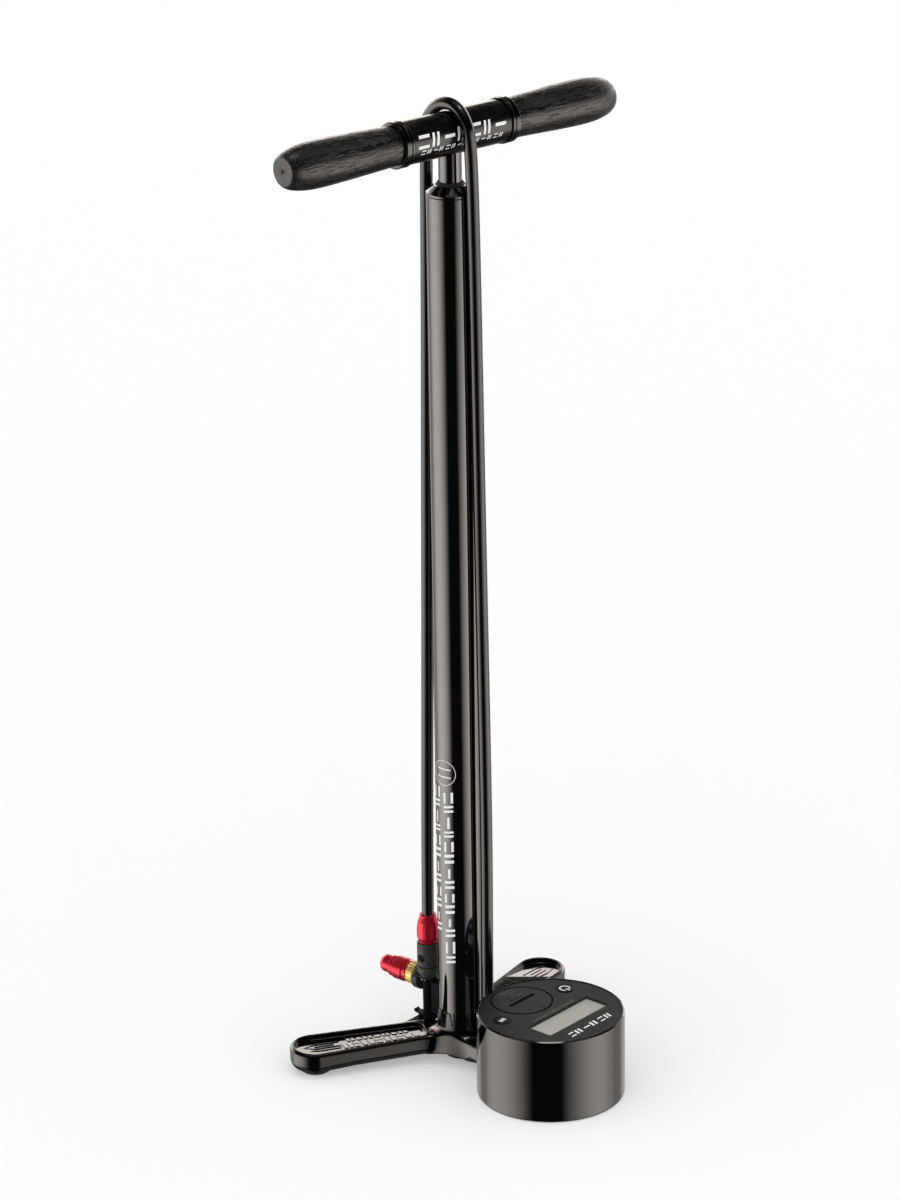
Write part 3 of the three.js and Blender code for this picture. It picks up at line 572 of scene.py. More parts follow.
class Leg:
    """A tread's middle line in plan, from its root in the hub to its tip over the CAD's foot pad."""

    def __init__(self, side, root):
        tip = middle(f"{side}_foot_pad")
        self.side, self.root, self.tip = side, root, (tip.x, tip.y - AXIS_Y)
        run = (self.tip[0] - root[0], self.tip[1] - root[1])
        self.length = math.hypot(*run)
        self.way = (run[0] / self.length, run[1] / self.length)
        self.drop = LEG_DROP[side]

    def along(self, x, y, start):
        """How far a point is along the leg from a start."""
        return (x - start[0]) * self.way[0] + (y - start[1]) * self.way[1]


LEGS = [Leg("left", (4.0, 5.0)), Leg("right", (-2.0, 4.0))]
HUB_PLAN = [
    ((-35.5, 19), (-15.5, 6), (-15.2, -8)), ((-15.2, -8), (-15.4, -20), (-19, -34)), ((-19, -34), None, (19, -34)),
    ((19, -34), (15.4, -20), (15.2, -9)), ((15.2, -9), (16, -3), (39.5, -0.6)), ((39.5, -0.6), None, (35, 23.6)),
    ((35, 23.6), (14, 20), (9, 30)), ((9, 30), (7, 37.5), (0, 37.5)), ((0, 37.5), (-8, 37.5), (-21.2, 38.4)),
    ((-21.2, 38.4), None, (-35.5, 19)),
]


def hub_outline(steps=10):
    points = []
    for start, bend, end in HUB_PLAN:
        if bend is None:
            points.append(start)
            continue
        for i in range(steps):
            t = i / steps
            points.append(tuple(
                (1 - t) ** 2 * s + 2 * t * (1 - t) * b + t * t * e for s, b, e in zip(start, bend, end)
            ))
    return points


def blend_min(a, b, k):
    """The nearer of two distances, with a fillet of about k where they meet."""
    h = np.maximum(k - np.abs(a - b), 0) / k
    return np.minimum(a, b) - h * h * k * 0.25


def blend_max(a, b, k):
    return -blend_min(-a, -b, k)


def ease(value, low, high):
    t = np.clip((value - low) / (high - low), 0, 1)
    return t * t * (3 - 2 * t)


def leg_half(share):
    return LEG_ROOT_HALF + (LEG_TIP_R - LEG_ROOT_HALF) * share**0.8


def pocket_depth(x, y, leg):
    """Depth of a leg's pocket, which grows away from the camera but not towards the hub."""
    away_x, away_y = -math.sin(math.radians(VIEW_AZIMUTH)), math.cos(math.radians(VIEW_AZIMUTH))
    inward = np.minimum(0, leg.along(x, y, leg.tip)) * min(0, leg.way[0] * away_x + leg.way[1] * away_y)
    behind = (x - leg.tip[0]) * away_x + (y - leg.tip[1]) * away_y - inward
    return np.clip(0.5 + POCKET_SLOPE * (behind + 14), *POCKET_DEPTHS)


def leg_field(x, y, leg):
    """Distance outside a leg's outline in plan, each point's share of the way along it, and the pocket's depth."""
    free = leg.along(x, y, leg.root) / leg.length
    share = np.clip(free, 0, 1)
    nearest = [start + way * leg.length * share for start, way in zip(leg.root, leg.way)]
    return np.hypot(x - nearest[0], y - nearest[1]) - leg_half(share), free, pocket_depth(x, y, leg)


def polygon_field(x, y, outline):
    nearest = np.full(np.broadcast(x, y).shape, np.inf)
    crossings = np.zeros(nearest.shape, bool)
    for (ax, ay), (bx, by) in zip(outline, [*outline[1:], outline[0]]):
        ex, ey = bx - ax, by - ay
        t = np.clip(((x - ax) * ex + (y - ay) * ey) / (ex * ex + ey * ey), 0, 1)
        nearest = np.minimum(nearest, np.hypot(x - ax - t * ex, y - ay - t * ey))
        if ay != by:
            crossings ^= ((ay > y) != (by > y)) & (x < ax + (y - ay) * ex / ey)
    return np.where(crossings, -nearest, nearest)


HUB_OUTLINE = hub_outline()


def foot_field(x, y, z):
    """Signed distance, about, to the foot casting: negative inside."""
    hub = polygon_field(x, y, HUB_OUTLINE)
    fields = [leg_field(x, y, leg) for leg in LEGS]
    plan = blend_min(np.minimum(fields[0][0], fields[1][0]), hub, 2.0)
    top = LEG_TOP_HUB - sum(leg.drop * np.clip(free, 0, 1) for leg, (_, free, _) in zip(LEGS, fields))
    for flat, free, _ in fields:
        top = top + 0.5 * np.exp(-(((flat + 2.0) / 0.8) ** 2)) * ease(free, 0.16, 0.3)
    bottom = np.minimum(*(np.interp(free, *LEG_BOTTOMS) for _, free, _ in fields))
    body = blend_max(plan, z - top, 2.6)
    body = blend_max(body, bottom - z, 6.5)
    for flat, free, depth in fields:
        start = (POCKET_START - free) * 90.0
        pocket = blend_max(blend_max(flat + POCKET_INSET, start, 6.0), top - depth - z, 0.5)
        body = blend_max(body, -pocket, 0.4)
        hollow = blend_max(blend_max(flat + 4.2, start, 8.0), z - top + 7.0, 4.0)
        body = blend_max(body, -hollow, 1.2)
    for leg in LEGS:
        across = np.hypot(x - leg.tip[0], y - leg.tip[1])
        boss = np.maximum(across - 10.4, np.maximum(3.2 - z, z - 12.5))
        body = blend_min(body, boss, 1.5)
    across = np.hypot(x, y)
    flare = 15.9 + 1.3 * np.clip((38 - z) / 16, 0, 2) ** 2
    collar = blend_max(blend_max(across - flare, z - 38.0, 0.8), 11 - z, 1.0)
    body = blend_min(body, collar, 7.0)
    body = blend_min(body, blend_max(across - 12.0, np.maximum(4.1 - z, z - 14), 1.0), 2.0)
    from_gauge = np.hypot(x, y - GAUGE_Y)
    body = blend_max(body, -np.maximum(from_gauge - 48.3, TRAY_TOP - z), 1.0)
    tray = blend_max(blend_max(from_gauge - TRAY_R, z - TRAY_TOP, 0.3), TRAY_LOW - z, 1.0)
    body = blend_min(body, tray, 1.6)
    seat_and_shade_ring = np.maximum(np.maximum(from_gauge - 44.6, -z + 7.2), z - 30)
    body = blend_max(body, -seat_and_shade_ring, 0.5)
    groove = np.maximum(np.abs(from_gauge - 33.0) - 3.4, z - 4.4)
    body = blend_max(body, -groove, 0.4)
    for number in range(3):
        a = math.radians(90 + 60 + 120 * number)
        from_screw = np.hypot(x - SCREW_CIRCLE * math.cos(a), y - GAUGE_Y - SCREW_CIRCLE * math.sin(a))
        body = blend_max(body, -np.maximum(from_screw - 3.6, z - 4.4), 0.4)
        body = np.maximum(body, -np.maximum(from_screw - 1.9, z - 9.0))
    bores = np.minimum(np.maximum(across - 15.45, 15.7 - z), np.maximum(across - 4.6, 6.4 - z))
    bores = np.minimum(bores, np.maximum(np.hypot(x, y - INLET_Y) - 3.5, 16.8 - z))
    bores = np.minimum(bores, np.maximum(np.hypot(x, y - CHUCK_Y) - 3.3, 12.0 - z))
    return blend_max(body, -bores, 0.4)


def skin(field, low, high, step):
    """The surface where a field is zero, as points and quads on a grid, by surface nets."""
    axes = [np.arange(a, b + step, step) for a, b in zip(low, high)]
    x, y, z = np.meshgrid(axes[0], axes[1], [0.0], indexing="ij")
    value = np.concatenate([field(x, y, np.full_like(z, height)) for height in axes[2]], axis=2)
    inside = value < 0
    shape = tuple(n - 1 for n in value.shape)
    corner = [(i, j, k) for i in (0, 1) for j in (0, 1) for k in (0, 1)]
    full = np.zeros(shape, int)
    for i, j, k in corner:
        full += inside[i:i + shape[0], j:j + shape[1], k:k + shape[2]]
    cells = np.argwhere((full > 0) & (full < 8))
    number = np.full(shape, -1)
    number[tuple(cells.T)] = np.arange(len(cells))
    at = np.zeros((len(cells), 3))
    hits = np.zeros(len(cells))
    for a in corner:
        for axis in range(3):
            if a[axis]:
                continue
            b = tuple(c + (n == axis) for n, c in enumerate(a))
            va, vb = (value[tuple((cells + c).T)] for c in (a, b))
            cross = (va < 0) != (vb < 0)
            t = np.where(cross, va / np.where(cross, va - vb, 1), 0)
            point = cells + np.array(a) + t[:, None] * (np.array(b) - np.array(a))
            at += point * cross[:, None]
            hits += cross
    at = at / hits[:, None] * step + np.array(low)
    quads = []
    for axis in range(3):
        p, q = [(1, 2), (2, 0), (0, 1)][axis]
        cut = [slice(None)] * 3
        cut[axis] = slice(0, -1)
        first = inside[tuple(cut)]
        cut[axis] = slice(1, None)
        second = inside[tuple(cut)]
        edges = np.argwhere(first != second)
        keep = (edges[:, p] > 0) & (edges[:, q] > 0)
        keep &= (edges[:, p] < shape[p]) & (edges[:, q] < shape[q])
        edges = edges[keep]
        corners = []
        for dp, dq in ((-1, -1), (0, -1), (0, 0), (-1, 0)):
            cell = edges.copy()
            cell[:, p] += dp
            cell[:, q] += dq
            corners.append(number[tuple(cell.T)])
        quad = np.stack(corners, axis=1)
        outward = first[tuple(edges.T)]
        quads.append(np.where(outward[:, None], quad, quad[:, ::-1]))
    return at, np.concatenate(quads)


def onto(field, points, step, rounds=3):
    """The points moved along the field's slope until they lie where it is zero, and the slope there."""
    d = 0.02
    for last in [False] * rounds + [True]:
        x, y, z = points.T
        slope = np.stack([
            field(x + d, y, z) - field(x - d, y, z),
            field(x, y + d, z) - field(x, y - d, z),
            field(x, y, z + d) - field(x, y, z - d),
        ], axis=1) / (2 * d)
        if last:
            return points, slope / np.maximum(np.linalg.norm(slope, axis=1), 1e-9)[:, None]
        size = np.maximum((slope * slope).sum(1), 0.05)
        move = -(field(x, y, z) / size)[:, None] * slope
        far = np.linalg.norm(move, axis=1)
        points = points + move * np.minimum(1, 0.5 * step / np.maximum(far, 1e-9))[:, None]


def make_foot():
    step = 0.8
    low, high = (-94.0, GAUGE_Y - 51.0, -1.2), (126.0, 82.0, 40.0)
    points, quads = skin(foot_field, low, high, step)
    points, normals = onto(foot_field, points, step)
    mesh = bpy.data.meshes.new("foot_casting")
    mesh.from_pydata((points * MM).tolist(), [], quads.tolist())
    mesh.validate()
    mesh.polygons.foreach_set("use_smooth", [True] * len(mesh.polygons))
    if len(mesh.vertices) == len(normals):
        mesh.normals_split_custom_set_from_vertices(normals.tolist())
    foot = placed("foot_casting", mesh, PUMP, "gloss_black")
    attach(foot, "base")
    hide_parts("base_casting")


def leg_place(leg):
    """The frame of a leg: x along it from its root and down its slope, z up from its top face."""
    down = math.degrees(math.atan2(leg.drop, leg.length))
    heading = math.degrees(math.atan2(leg.way[1], leg.way[0]))
    return PUMP @ shift(*leg.root, LEG_TOP_HUB) @ turn(heading, "Z") @ turn(down, "Y")


# A row of blocks on a tread: where it starts as a share of the leg, its edge near the middle line, and its widths.
TREAD_ROWS = ((0.36, -1.0, (6, 3.4, 5, 4, 6, 3.4, 5)), (0.31, 1.2, (9, 4, 7, 5, 8, 4, 6)))
TREAD_LINES = (  # at the tip, from the pad's middle
    ((-16, -3.6), (1, -3.6), (8, 0), (1, 3.6), (-16, 3.6)),
    ((-12, 0), (1, 0)),
    ((-16, 7.4), (-4, 7.8), (5, 6.6)),
)


def tread_loops(leg, near):
    loops = []
    for first, low, widths in TREAD_ROWS:
        x = leg.length * first
        for number, width in enumerate(widths):
            high = math.copysign(leg_half(x / leg.length) - POCKET_INSET - 2.2, low)
            lean, half, gap = (1.6 if low < 0 else -1.2), (low + high) / 2, math.copysign(0.5, low)
            if number % 2:
                parts = [(0, 1, low, half - gap), (0.2, 1.1, half + gap, high)]
            else:
                parts = [(0, 0.42, low, high), (0.6, 1, low, high)]
            for start, end, base, far in parts:
                block = [(start, base), (end, base), (end, far), (start, far)]
                leaned = [(x + a * width + lean * (b - low) / (high - low), near * b, 0.3) for a, b in block]
                loops.append(rounded(leaned, True, 3))
            x += width + 1.3
    for line in TREAD_LINES:
        path = evenly(np.array([(leg.length + a, near * b, 0) for a, b in line], float), 0.5)
        loops.append(strip(path[:, :2], 0.8))
    return loops


def make_treads():
    """Raised marks in the pocket on top of each leg: two rows of plain blocks, and thin lines at the tip."""
    for leg, near in zip(LEGS, (1, -1)):
        (rx, ry), (ux, uy) = leg.root, leg.way
        shapes = []
        for loop in tread_loops(leg, near):
            points, faces = plate(loop, -0.6, 0.55, bevel=0.15)
            sunk = [float(pocket_depth(rx + x * ux - y * uy, ry + x * uy + y * ux, leg)) for x, y, _ in points]
            shapes.append(([(x, y, z - depth) for (x, y, z), depth in zip(points, sunk)], faces))
        piece(f"{leg.side}_tread_pattern", joined(*shapes), "gloss_black", "base", place=leg_place(leg))


def make_pads():
    outline = [(0, 0), (8.6, 0, 1.2), (11.6, 2.4, 0.8), (11.7, 6.6, 0.2), (10.8, 6.6), (10.8, 2.9), (0, 2.9)]
    for leg in LEGS:
        pads = [f"{leg.side}_foot_pad"]
        piece(f"{leg.side}_pad", turned(outline, 64), "rubber", "base", pads, PUMP @ shift(*leg.tip))
    ring = [(30, 0, 0.6), (36, 0, 0.6), (36, 4.1, 0.3), (30, 4.1, 0.3)]
    piece("gauge_pad", turned(ring, 96, closed=True), "rubber", "base", ["gauge_foot_ring"], GAUGE)


# ---------------------------------------------------------------- gauge
CAP_AT = (-0.7, 23.5)
CAP_R = 19.8
LCD_AT, LCD_SIZE = (1.1, -14.2), (58.5, 18.3)
POWER_AT, UNIT_AT = (30.5, 13.1), (-31.2, 14.2)
BUTTON_R = 5.8
FACE_TOP = 56.9
CAP, POWER, UNIT = (GAUGE @ shift(*at) for at in (CAP_AT, POWER_AT, UNIT_AT))


def strip(points, width):
    """The outline of a line of the given width, its ends square."""
    line = np.array(points, float)
    ways = ways_along(line)
    side = np.stack([-ways[:, 1], ways[:, 0]], axis=1) * width / 2
    return [tuple(p) for p in [*(line + side), *(line - side)[::-1]]]


def arc(radius, start, end, count=24):
    return [(radius * math.cos(a), radius * math.sin(a)) for a in np.radians(np.linspace(start, end, count))]


def make_gauge():
    shell = [
        (45.1, 13.3), (45.1, 12.2), (47.9, 12.2), (47.9, 56.55, 0.2), (46.9, 57.2, 0.2), (46.3, 57.2, 0.15),
        (46.3, 54.3), (44.6, 54.3), (45.1, 50.6),
    ]
    piece("gauge_shell", turned(shell, 160, closed=True), "gloss_black", "base", ["gauge_housing"], GAUGE)
    wide, deep = LCD_SIZE
    holes = [circle(CAP_R + 0.9, *CAP_AT), *(circle(BUTTON_R + 0.35, *at, 64) for at in (POWER_AT, UNIT_AT))]
    holes.append(box_loop(wide + 0.4, deep + 0.4, *LCD_AT, 0.5))
    face = plate(circle(45.9, count=160), 54.6, FACE_TOP, holes, bevel=0.12)
    piece("gauge_dial", face, "face_black", "base", ["gauge_face"], GAUGE)
    glass = plate(box_loop(*LCD_SIZE, *LCD_AT, 0.4), 55.5, 56.75, bevel=0.15)
    piece("lcd_glass", glass, "clear_lens", "base", ["lcd_window"], GAUGE)
    panel = plate(box_loop(wide, deep + 1, *LCD_AT), 51.0, 54.2, bevel=0.1)
    cell = plate(box_loop(wide - 0.4, deep - 0.4, *LCD_AT), 54.1, 55.3, bevel=0.1)
    piece("lcd_cell", joined(panel, cell), "lcd_grey", "base", ["lcd_panel"], GAUGE)
    make_battery_cap()
    make_buttons()
    make_dial_print()


def make_battery_cap():
    top = plate(circle(CAP_R - 0.45), 55.7, 57.0, [box_loop(24, 3.2, radius=0.6)], bevel=0.12)
    flange = CAP_R - 0.5
    under = turned([(0, 53.2), (18.6, 53.2, 0.3), (18.6, 54.9), (flange, 54.9, 0.2), (flange, 55.69), (0, 55.69)], 96)
    piece("coin_cap", joined(top, under), "face_black", "battery_cap", ["battery_cap"], CAP)
    # Painted shade: a matte black ring, darker than the dial, sunk in the groove round the coin cap so that the gap
    # reads dark.
    seat_and_shade_ring = [(19.9, 55.8), (20.65, 55.8), (20.65, 56.1, 0.1), (19.9, 56.1, 0.1)]  # clear of the cap's seal as it lifts
    piece("coin_cap_groove_shade", turned(seat_and_shade_ring, 128, closed=True), "face_black", "base", place=CAP, finish="deep_black")
    # Painted shade: a matte black plate, darker than the cap, raised into the coin slot so that the slot reads dark.
    slot_shade_plate = plate(box_loop(23.9, 3.1, radius=0.6), 55.6, 56.3)
    piece("coin_slot_painted_shade", slot_shade_plate, "face_black", "battery_cap", place=CAP, finish="deep_black")
    outlines = [
        strip(arc(radius, 90 * sign - sweep, 90 * sign + sweep), 0.5)
        for sign in (1, -1) for radius, sweep in ((13.5, 36), (15.6, 30))
    ]
    outlines += [box_loop(14 - y * 0.5, 0.9, 0, y, 0.3) for y in (5.2, 7.6, 10.0)]
    raised = joined(*(plate(outline, 56.9, 57.1, bevel=0.05) for outline in outlines))
    piece("coin_cap_marks", raised, "gloss_black", "battery_cap", place=CAP)


def make_buttons():
    key = [
        (0, 51.6), (2.4, 51.6, 0.2), (2.4, 52.8), (BUTTON_R, 52.8, 0.2), (BUTTON_R, 56.8, 0.4), (5.0, 57.2, 0.5),
        (0, 57.2),
    ]
    for name, place in (("power", POWER), ("unit", UNIT)):
        body = f"{name}_button"
        piece(f"{name}_key", turned(key, 64), "gloss_black", body, [body], place, "deep_black")
    ring = [strip(arc(3.3, -50, 230), 0.95), box_loop(0.95, 3.4, 0, -2.7)]
    arrow = (((-3.4, 0.5), (1.5, 0.5), (1.5, 1.4), (-3.4, 1.4)), ((1.2, -0.2), (3.9, 1.0), (1.2, 2.4)))
    arrows = [[(0.78 * sign * x, 0.78 * sign * y) for x, y in outline] for sign in (1, -1) for outline in arrow]
    for name, outlines, place in (("power", ring, POWER), ("unit", arrows, UNIT)):
        symbol = joined(*(plate(outline, 57.1, 57.3) for outline in outlines))
        piece(f"{name}_key_mark", symbol, "gloss_black", f"{name}_button", place=place, finish="print_white")


def make_dial_print():
    """Plain printed bars on the dial: a row below the display and a fine scale above it."""
    low, high = FACE_TOP - 0.02, FACE_TOP + 0.05
    flat, _ = marks((4.2, 6.4, 5.4, 6.6, 4.6, 5.8), 5.0, lean=1.2, gap=1.6)
    bars = moved(flat, shift(-21.0, -33.4, FACE_TOP))
    piece("dial_bars", bars, "face_black", "base", place=GAUGE, finish="print_white")
    scale = [plate(box_loop(0.35, 1.6 if i % 5 else 2.4, -20 + i * 2.0, -1.6), low, high) for i in range(21)]
    scale.append(plate(box_loop(40.4, 0.3, 0, -3.0), low, high))
    piece("dial_scale", joined(*scale), "face_black", "base", place=GAUGE, finish="print_grey")


# ---------------------------------------------------------------- barrel and plunger
BARREL_R = 15.2


def make_barrel():
    barrel = [(13.6, 16), (BARREL_R, 16, 0.3), (BARREL_R, 587, 0.3), (13.6, 587)]
    cap = [
        (11.3, 569), (13.2, 569), (13.2, 581.6), (12, 581.6), (12, 584.4), (13.2, 584.4), (13.2, 587.3),
        (BARREL_R, 587.3, 0.25), (BARREL_R, 588.8, 0.35), (14.1, 590.1, 0.5), (10.5, 593.4, 0.4), (9.3, 593.4),
        (9.3, 591), (11.3, 591),
    ]
    wiper = [(7.5, 591.3), (9, 591.3), (9, 593.2, 0.3), (8.4, 594.6, 0.5), (7.8, 595.4, 0.3), (7.5, 595.4)]
    rod = [(5.4, 36.7), (7.2, 36.7, 0.3), (7.2, 618.5), (5.4, 618.5)]
    for name, outline, segments, slot, body, node, finish in (
        ("barrel_tube", barrel, 128, "gloss_black", "base", "barrel", "polished_black"),
        ("barrel_collar_cap", cap, 128, "gloss_black", "base", "barrel_cap", "polished_black"),
        ("rod_wiper_lip", wiper, 64, "rubber", "base", "rod_wiper", None),
        ("plunger_rod", rod, 96, "satin_black", "plunger", "piston_rod", "polished_black"),
    ):
        piece(name, turned(outline, segments, closed=True), slot, body, [node], finish=finish)


def on_barrel(shape, around, height, down=False):
    """A flat shape wrapped on the barrel: its x goes round and its y up, or its x down and its y round."""
    points, faces = shape
    wrapped = []
    for x, y, z in points:
        across, up = (y, -x) if down else (x, y)
        a = math.radians(around) + across / BARREL_R
        wrapped.append(((BARREL_R + z) * math.sin(a), -(BARREL_R + z) * math.cos(a), height + up))
    return wrapped, faces


def patch(corners, steps=5):
    """A thin four-sided print, cut into strips so that it can be wrapped."""
    a, b, c, d = (np.array(corner, float) for corner in corners)
    points = []
    for t in np.linspace(0, 1, steps + 1):
        low, high = (tuple(start + (end - start) * t) for start, end in ((a, b), (d, c)))
        points += [(*low, -0.05), (*high, -0.05), (*high, 0.05), (*low, 0.05)]
    return capped(points, 4)


MARKS = (  # each mark's strokes: from and to across its width, low and high
    ((0, 1, 0, 0.22), (0, 1, 0.76, 1)),
    ((0, 0.24, 0, 1), (0.5, 0.74, 0, 1)),
    ((0, 1, 0.38, 0.62),),
    ((0, 0.24, 0, 1), (0.5, 0.74, 0, 1)),
)


def marks(widths, tall, lean=0.0, gap=1.8):
    """A row of plain printed marks along x, and how long it is."""
    made, x = [], 0.0
    for number, width in enumerate(widths):
        for start, end, low, high in MARKS[number % len(MARKS)]:
            at = ((start, low), (start, high), (end, high), (end, low))
            made.append(patch([(x + width * u + lean * v, tall * (v - 0.5)) for u, v in at]))
        x += width + gap
    return joined(*made), x - gap


def make_barrel_print():
    """Two columns of plain marks down the barrel's lower third below an open ring."""
    emblem = []
    angles = 2 * math.pi * np.arange(73) / 72
    for a, b in zip(angles, angles[1:]):
        corners = [(r * math.cos(t), r * math.sin(t)) for r, t in ((8.3, a), (8.65, a), (8.65, b), (8.3, b))]
        emblem.append(patch(corners, 1))
    for y in (2.6, -2.8):
        emblem.append(patch([(-5.2, y - 0.4), (5.2, y - 0.4), (5.2, y + 0.4), (-5.2, y + 0.4)], 8))
    shapes = [on_barrel(joined(*emblem), VIEW_AZIMUTH - 40, 207.6)]
    widths = (7.4, 6.2, 8.0, 5.6, 7.0, 8.4, 6.6)
    for around, top, bottom in ((-28, 193.7, 69.0), (-67, 196.0, 88.0)):
        run = []
        while marks(run, 1)[1] < top - bottom - 9:
            run.append(widths[len(run) % len(widths)])
        shapes.append(on_barrel(marks(run, 6.9, lean=-1.4)[0], VIEW_AZIMUTH + around, top, down=True))
    piece("barrel_bars", joined(*shapes), "gloss_black", "base", finish="print_white")


# ---------------------------------------------------------------- handle
HANDLE_R = 13.6


def make_handle():
    tube_outline = [(10.2, -39.2), (HANDLE_R, -39.2, 0.3), (HANDLE_R, 39.2, 0.3), (10.2, 39.2)]
    piece("handle_sleeve", turned(tube_outline, 128, closed=True), "satin_black", "plunger", ["handle_tube"], RIGHT)
    outline = [
        (5, 39.4), (13.5, 39.4, 0.2), (14.5, 40.1, 0.3), (14.5, 41.6, 0.3), (14.0, 42.2, 0.3), (14.5, 42.8, 0.3),
        (14.5, 46.0, 0.4), (13.8, 46.7, 0.3), (5, 46.7),
    ]
    for side, place, seed in (("right", RIGHT, 3), ("left", LEFT, 7)):
        ring = turned(outline, 128, closed=True)
        piece(f"{side}_end_ring", ring, "gloss_black", "plunger", [f"{side}_handle_ring"], place)
        grip = grip_shape(seed)
        piece(f"{side}_wood_grip", grip, "black_wood", "plunger", [f"{side}_grip"], place, sharp=60, weighted=False)
    make_handle_print()


GRIP = [  # how far out along the handle, radius
    (46.9, 12.1), (47.3, 12.5), (53.5, 12.7), (64.53, 13.1), (83.36, 13.9), (95.91, 14.25), (104.28, 14.4),
    (110.56, 14.3), (115.79, 14), (120.5, 13.4), (124.16, 12.7), (127.3, 11.85), (129.3, 11), (130.7, 10.15),
    (131.5, 9.4), (131.85, 8.9), (131.9, 8.6),
]
GRIP_END = [(8.3, 131.9), (5.0, 131.88), (1.0, 131.86), (0.8, 131.7), (0.3, 131)]  # radius, how far out


def grip_shape(seed, around=360, along=150):
    """A turned grip with cracks of open grain cut into it, and the dimple that the lathe left in its end."""
    stations = np.linspace(0, 1, along)
    places, radii = np.array(GRIP).T
    length = np.concatenate([[0], np.cumsum(np.hypot(np.diff(places), np.diff(radii)))])
    z = np.interp(stations * length[-1], length, places)
    r = np.interp(stations * length[-1], length, radii)
    for _ in range(3):
        r[1:-1] = (r[:-2] + 2 * r[1:-1] + r[2:]) / 4
    draw = np.random.default_rng(seed)
    depth = np.zeros((along, around))
    angle = np.arange(around) / around * 2 * np.pi
    for _ in range(230):
        centre, middle_z = draw.uniform(0, 2 * np.pi), draw.uniform(49, 126)
        half, width = draw.uniform(2.0, 11.0), draw.uniform(0.012, 0.026)
        wander = draw.uniform(-0.05, 0.05)
        deep = draw.uniform(0.05, 0.2)
        share = (z - middle_z) / half
        fade = np.clip(1 - share**2, 0, 1)[:, None]
        line = centre + wander * np.sin(share * 2.2)
        off = (angle - line[:, None] + np.pi) % (2 * np.pi) - np.pi
        depth = np.maximum(depth, deep * fade * np.exp(-((off / width) ** 2)))
    swell = 0.05 * np.sin(3 * angle + seed) * np.sin(z / 17.0)[:, None]
    cut = (ease(z, 47.2, 50) * (1 - ease(z, 125, 130)))[:, None]
    radius = r[:, None] - depth * cut + swell * ease(z, 49, 62)[:, None]
    rows = [*zip(radius, z), *((np.full(around, r_in), height) for r_in, height in GRIP_END)]
    points = [(r * c, r * s, height) for row, height in rows for r, c, s in zip(row, np.cos(angle), np.sin(angle))]
    rings = [range(i, i + around) for i in range(0, len(points), around)]
    rings = [[len(points)], *rings, [len(points) + 1]]
    return [*points, (0.0, 0.0, GRIP[0][0]), (0.0, 0.0, 130.9)], loft(rings)


def make_handle_print():
    """Two rows of plain marks printed on the handle's tube, on the side that faces the camera."""
    rows = []
    for widths, tall, start, up, lean, gap in (
        ((8.5, 7.5, 8, 7.5, 9, 7, 8.6), 8.4, -36.8, 10.5, 1.4, 2.4),
        ((3.4, 3.6, 3, 3.6, 3.2, 3.4, 3, 3.6, 3.4, 3.2, 3.6, 3.4, 3.2, 3.3), 2.8, -34.4, -18.5, 0.9, 1.5),
    ):
        points, faces = marks(widths, tall, lean=lean, gap=gap)[0]
        turned_by = [(x + start, HANDLE_R + z, math.radians(up) + y / HANDLE_R) for x, y, z in points]
        rows.append(([(x, -r * math.cos(a), r * math.sin(a)) for x, r, a in turned_by], faces))
    piece("handle_bars", joined(*rows), "satin_black", "plunger", place=HANDLE, finish="print_white")


# ---------------------------------------------------------------- hose ends and chuck
KNURL_TEETH = 22


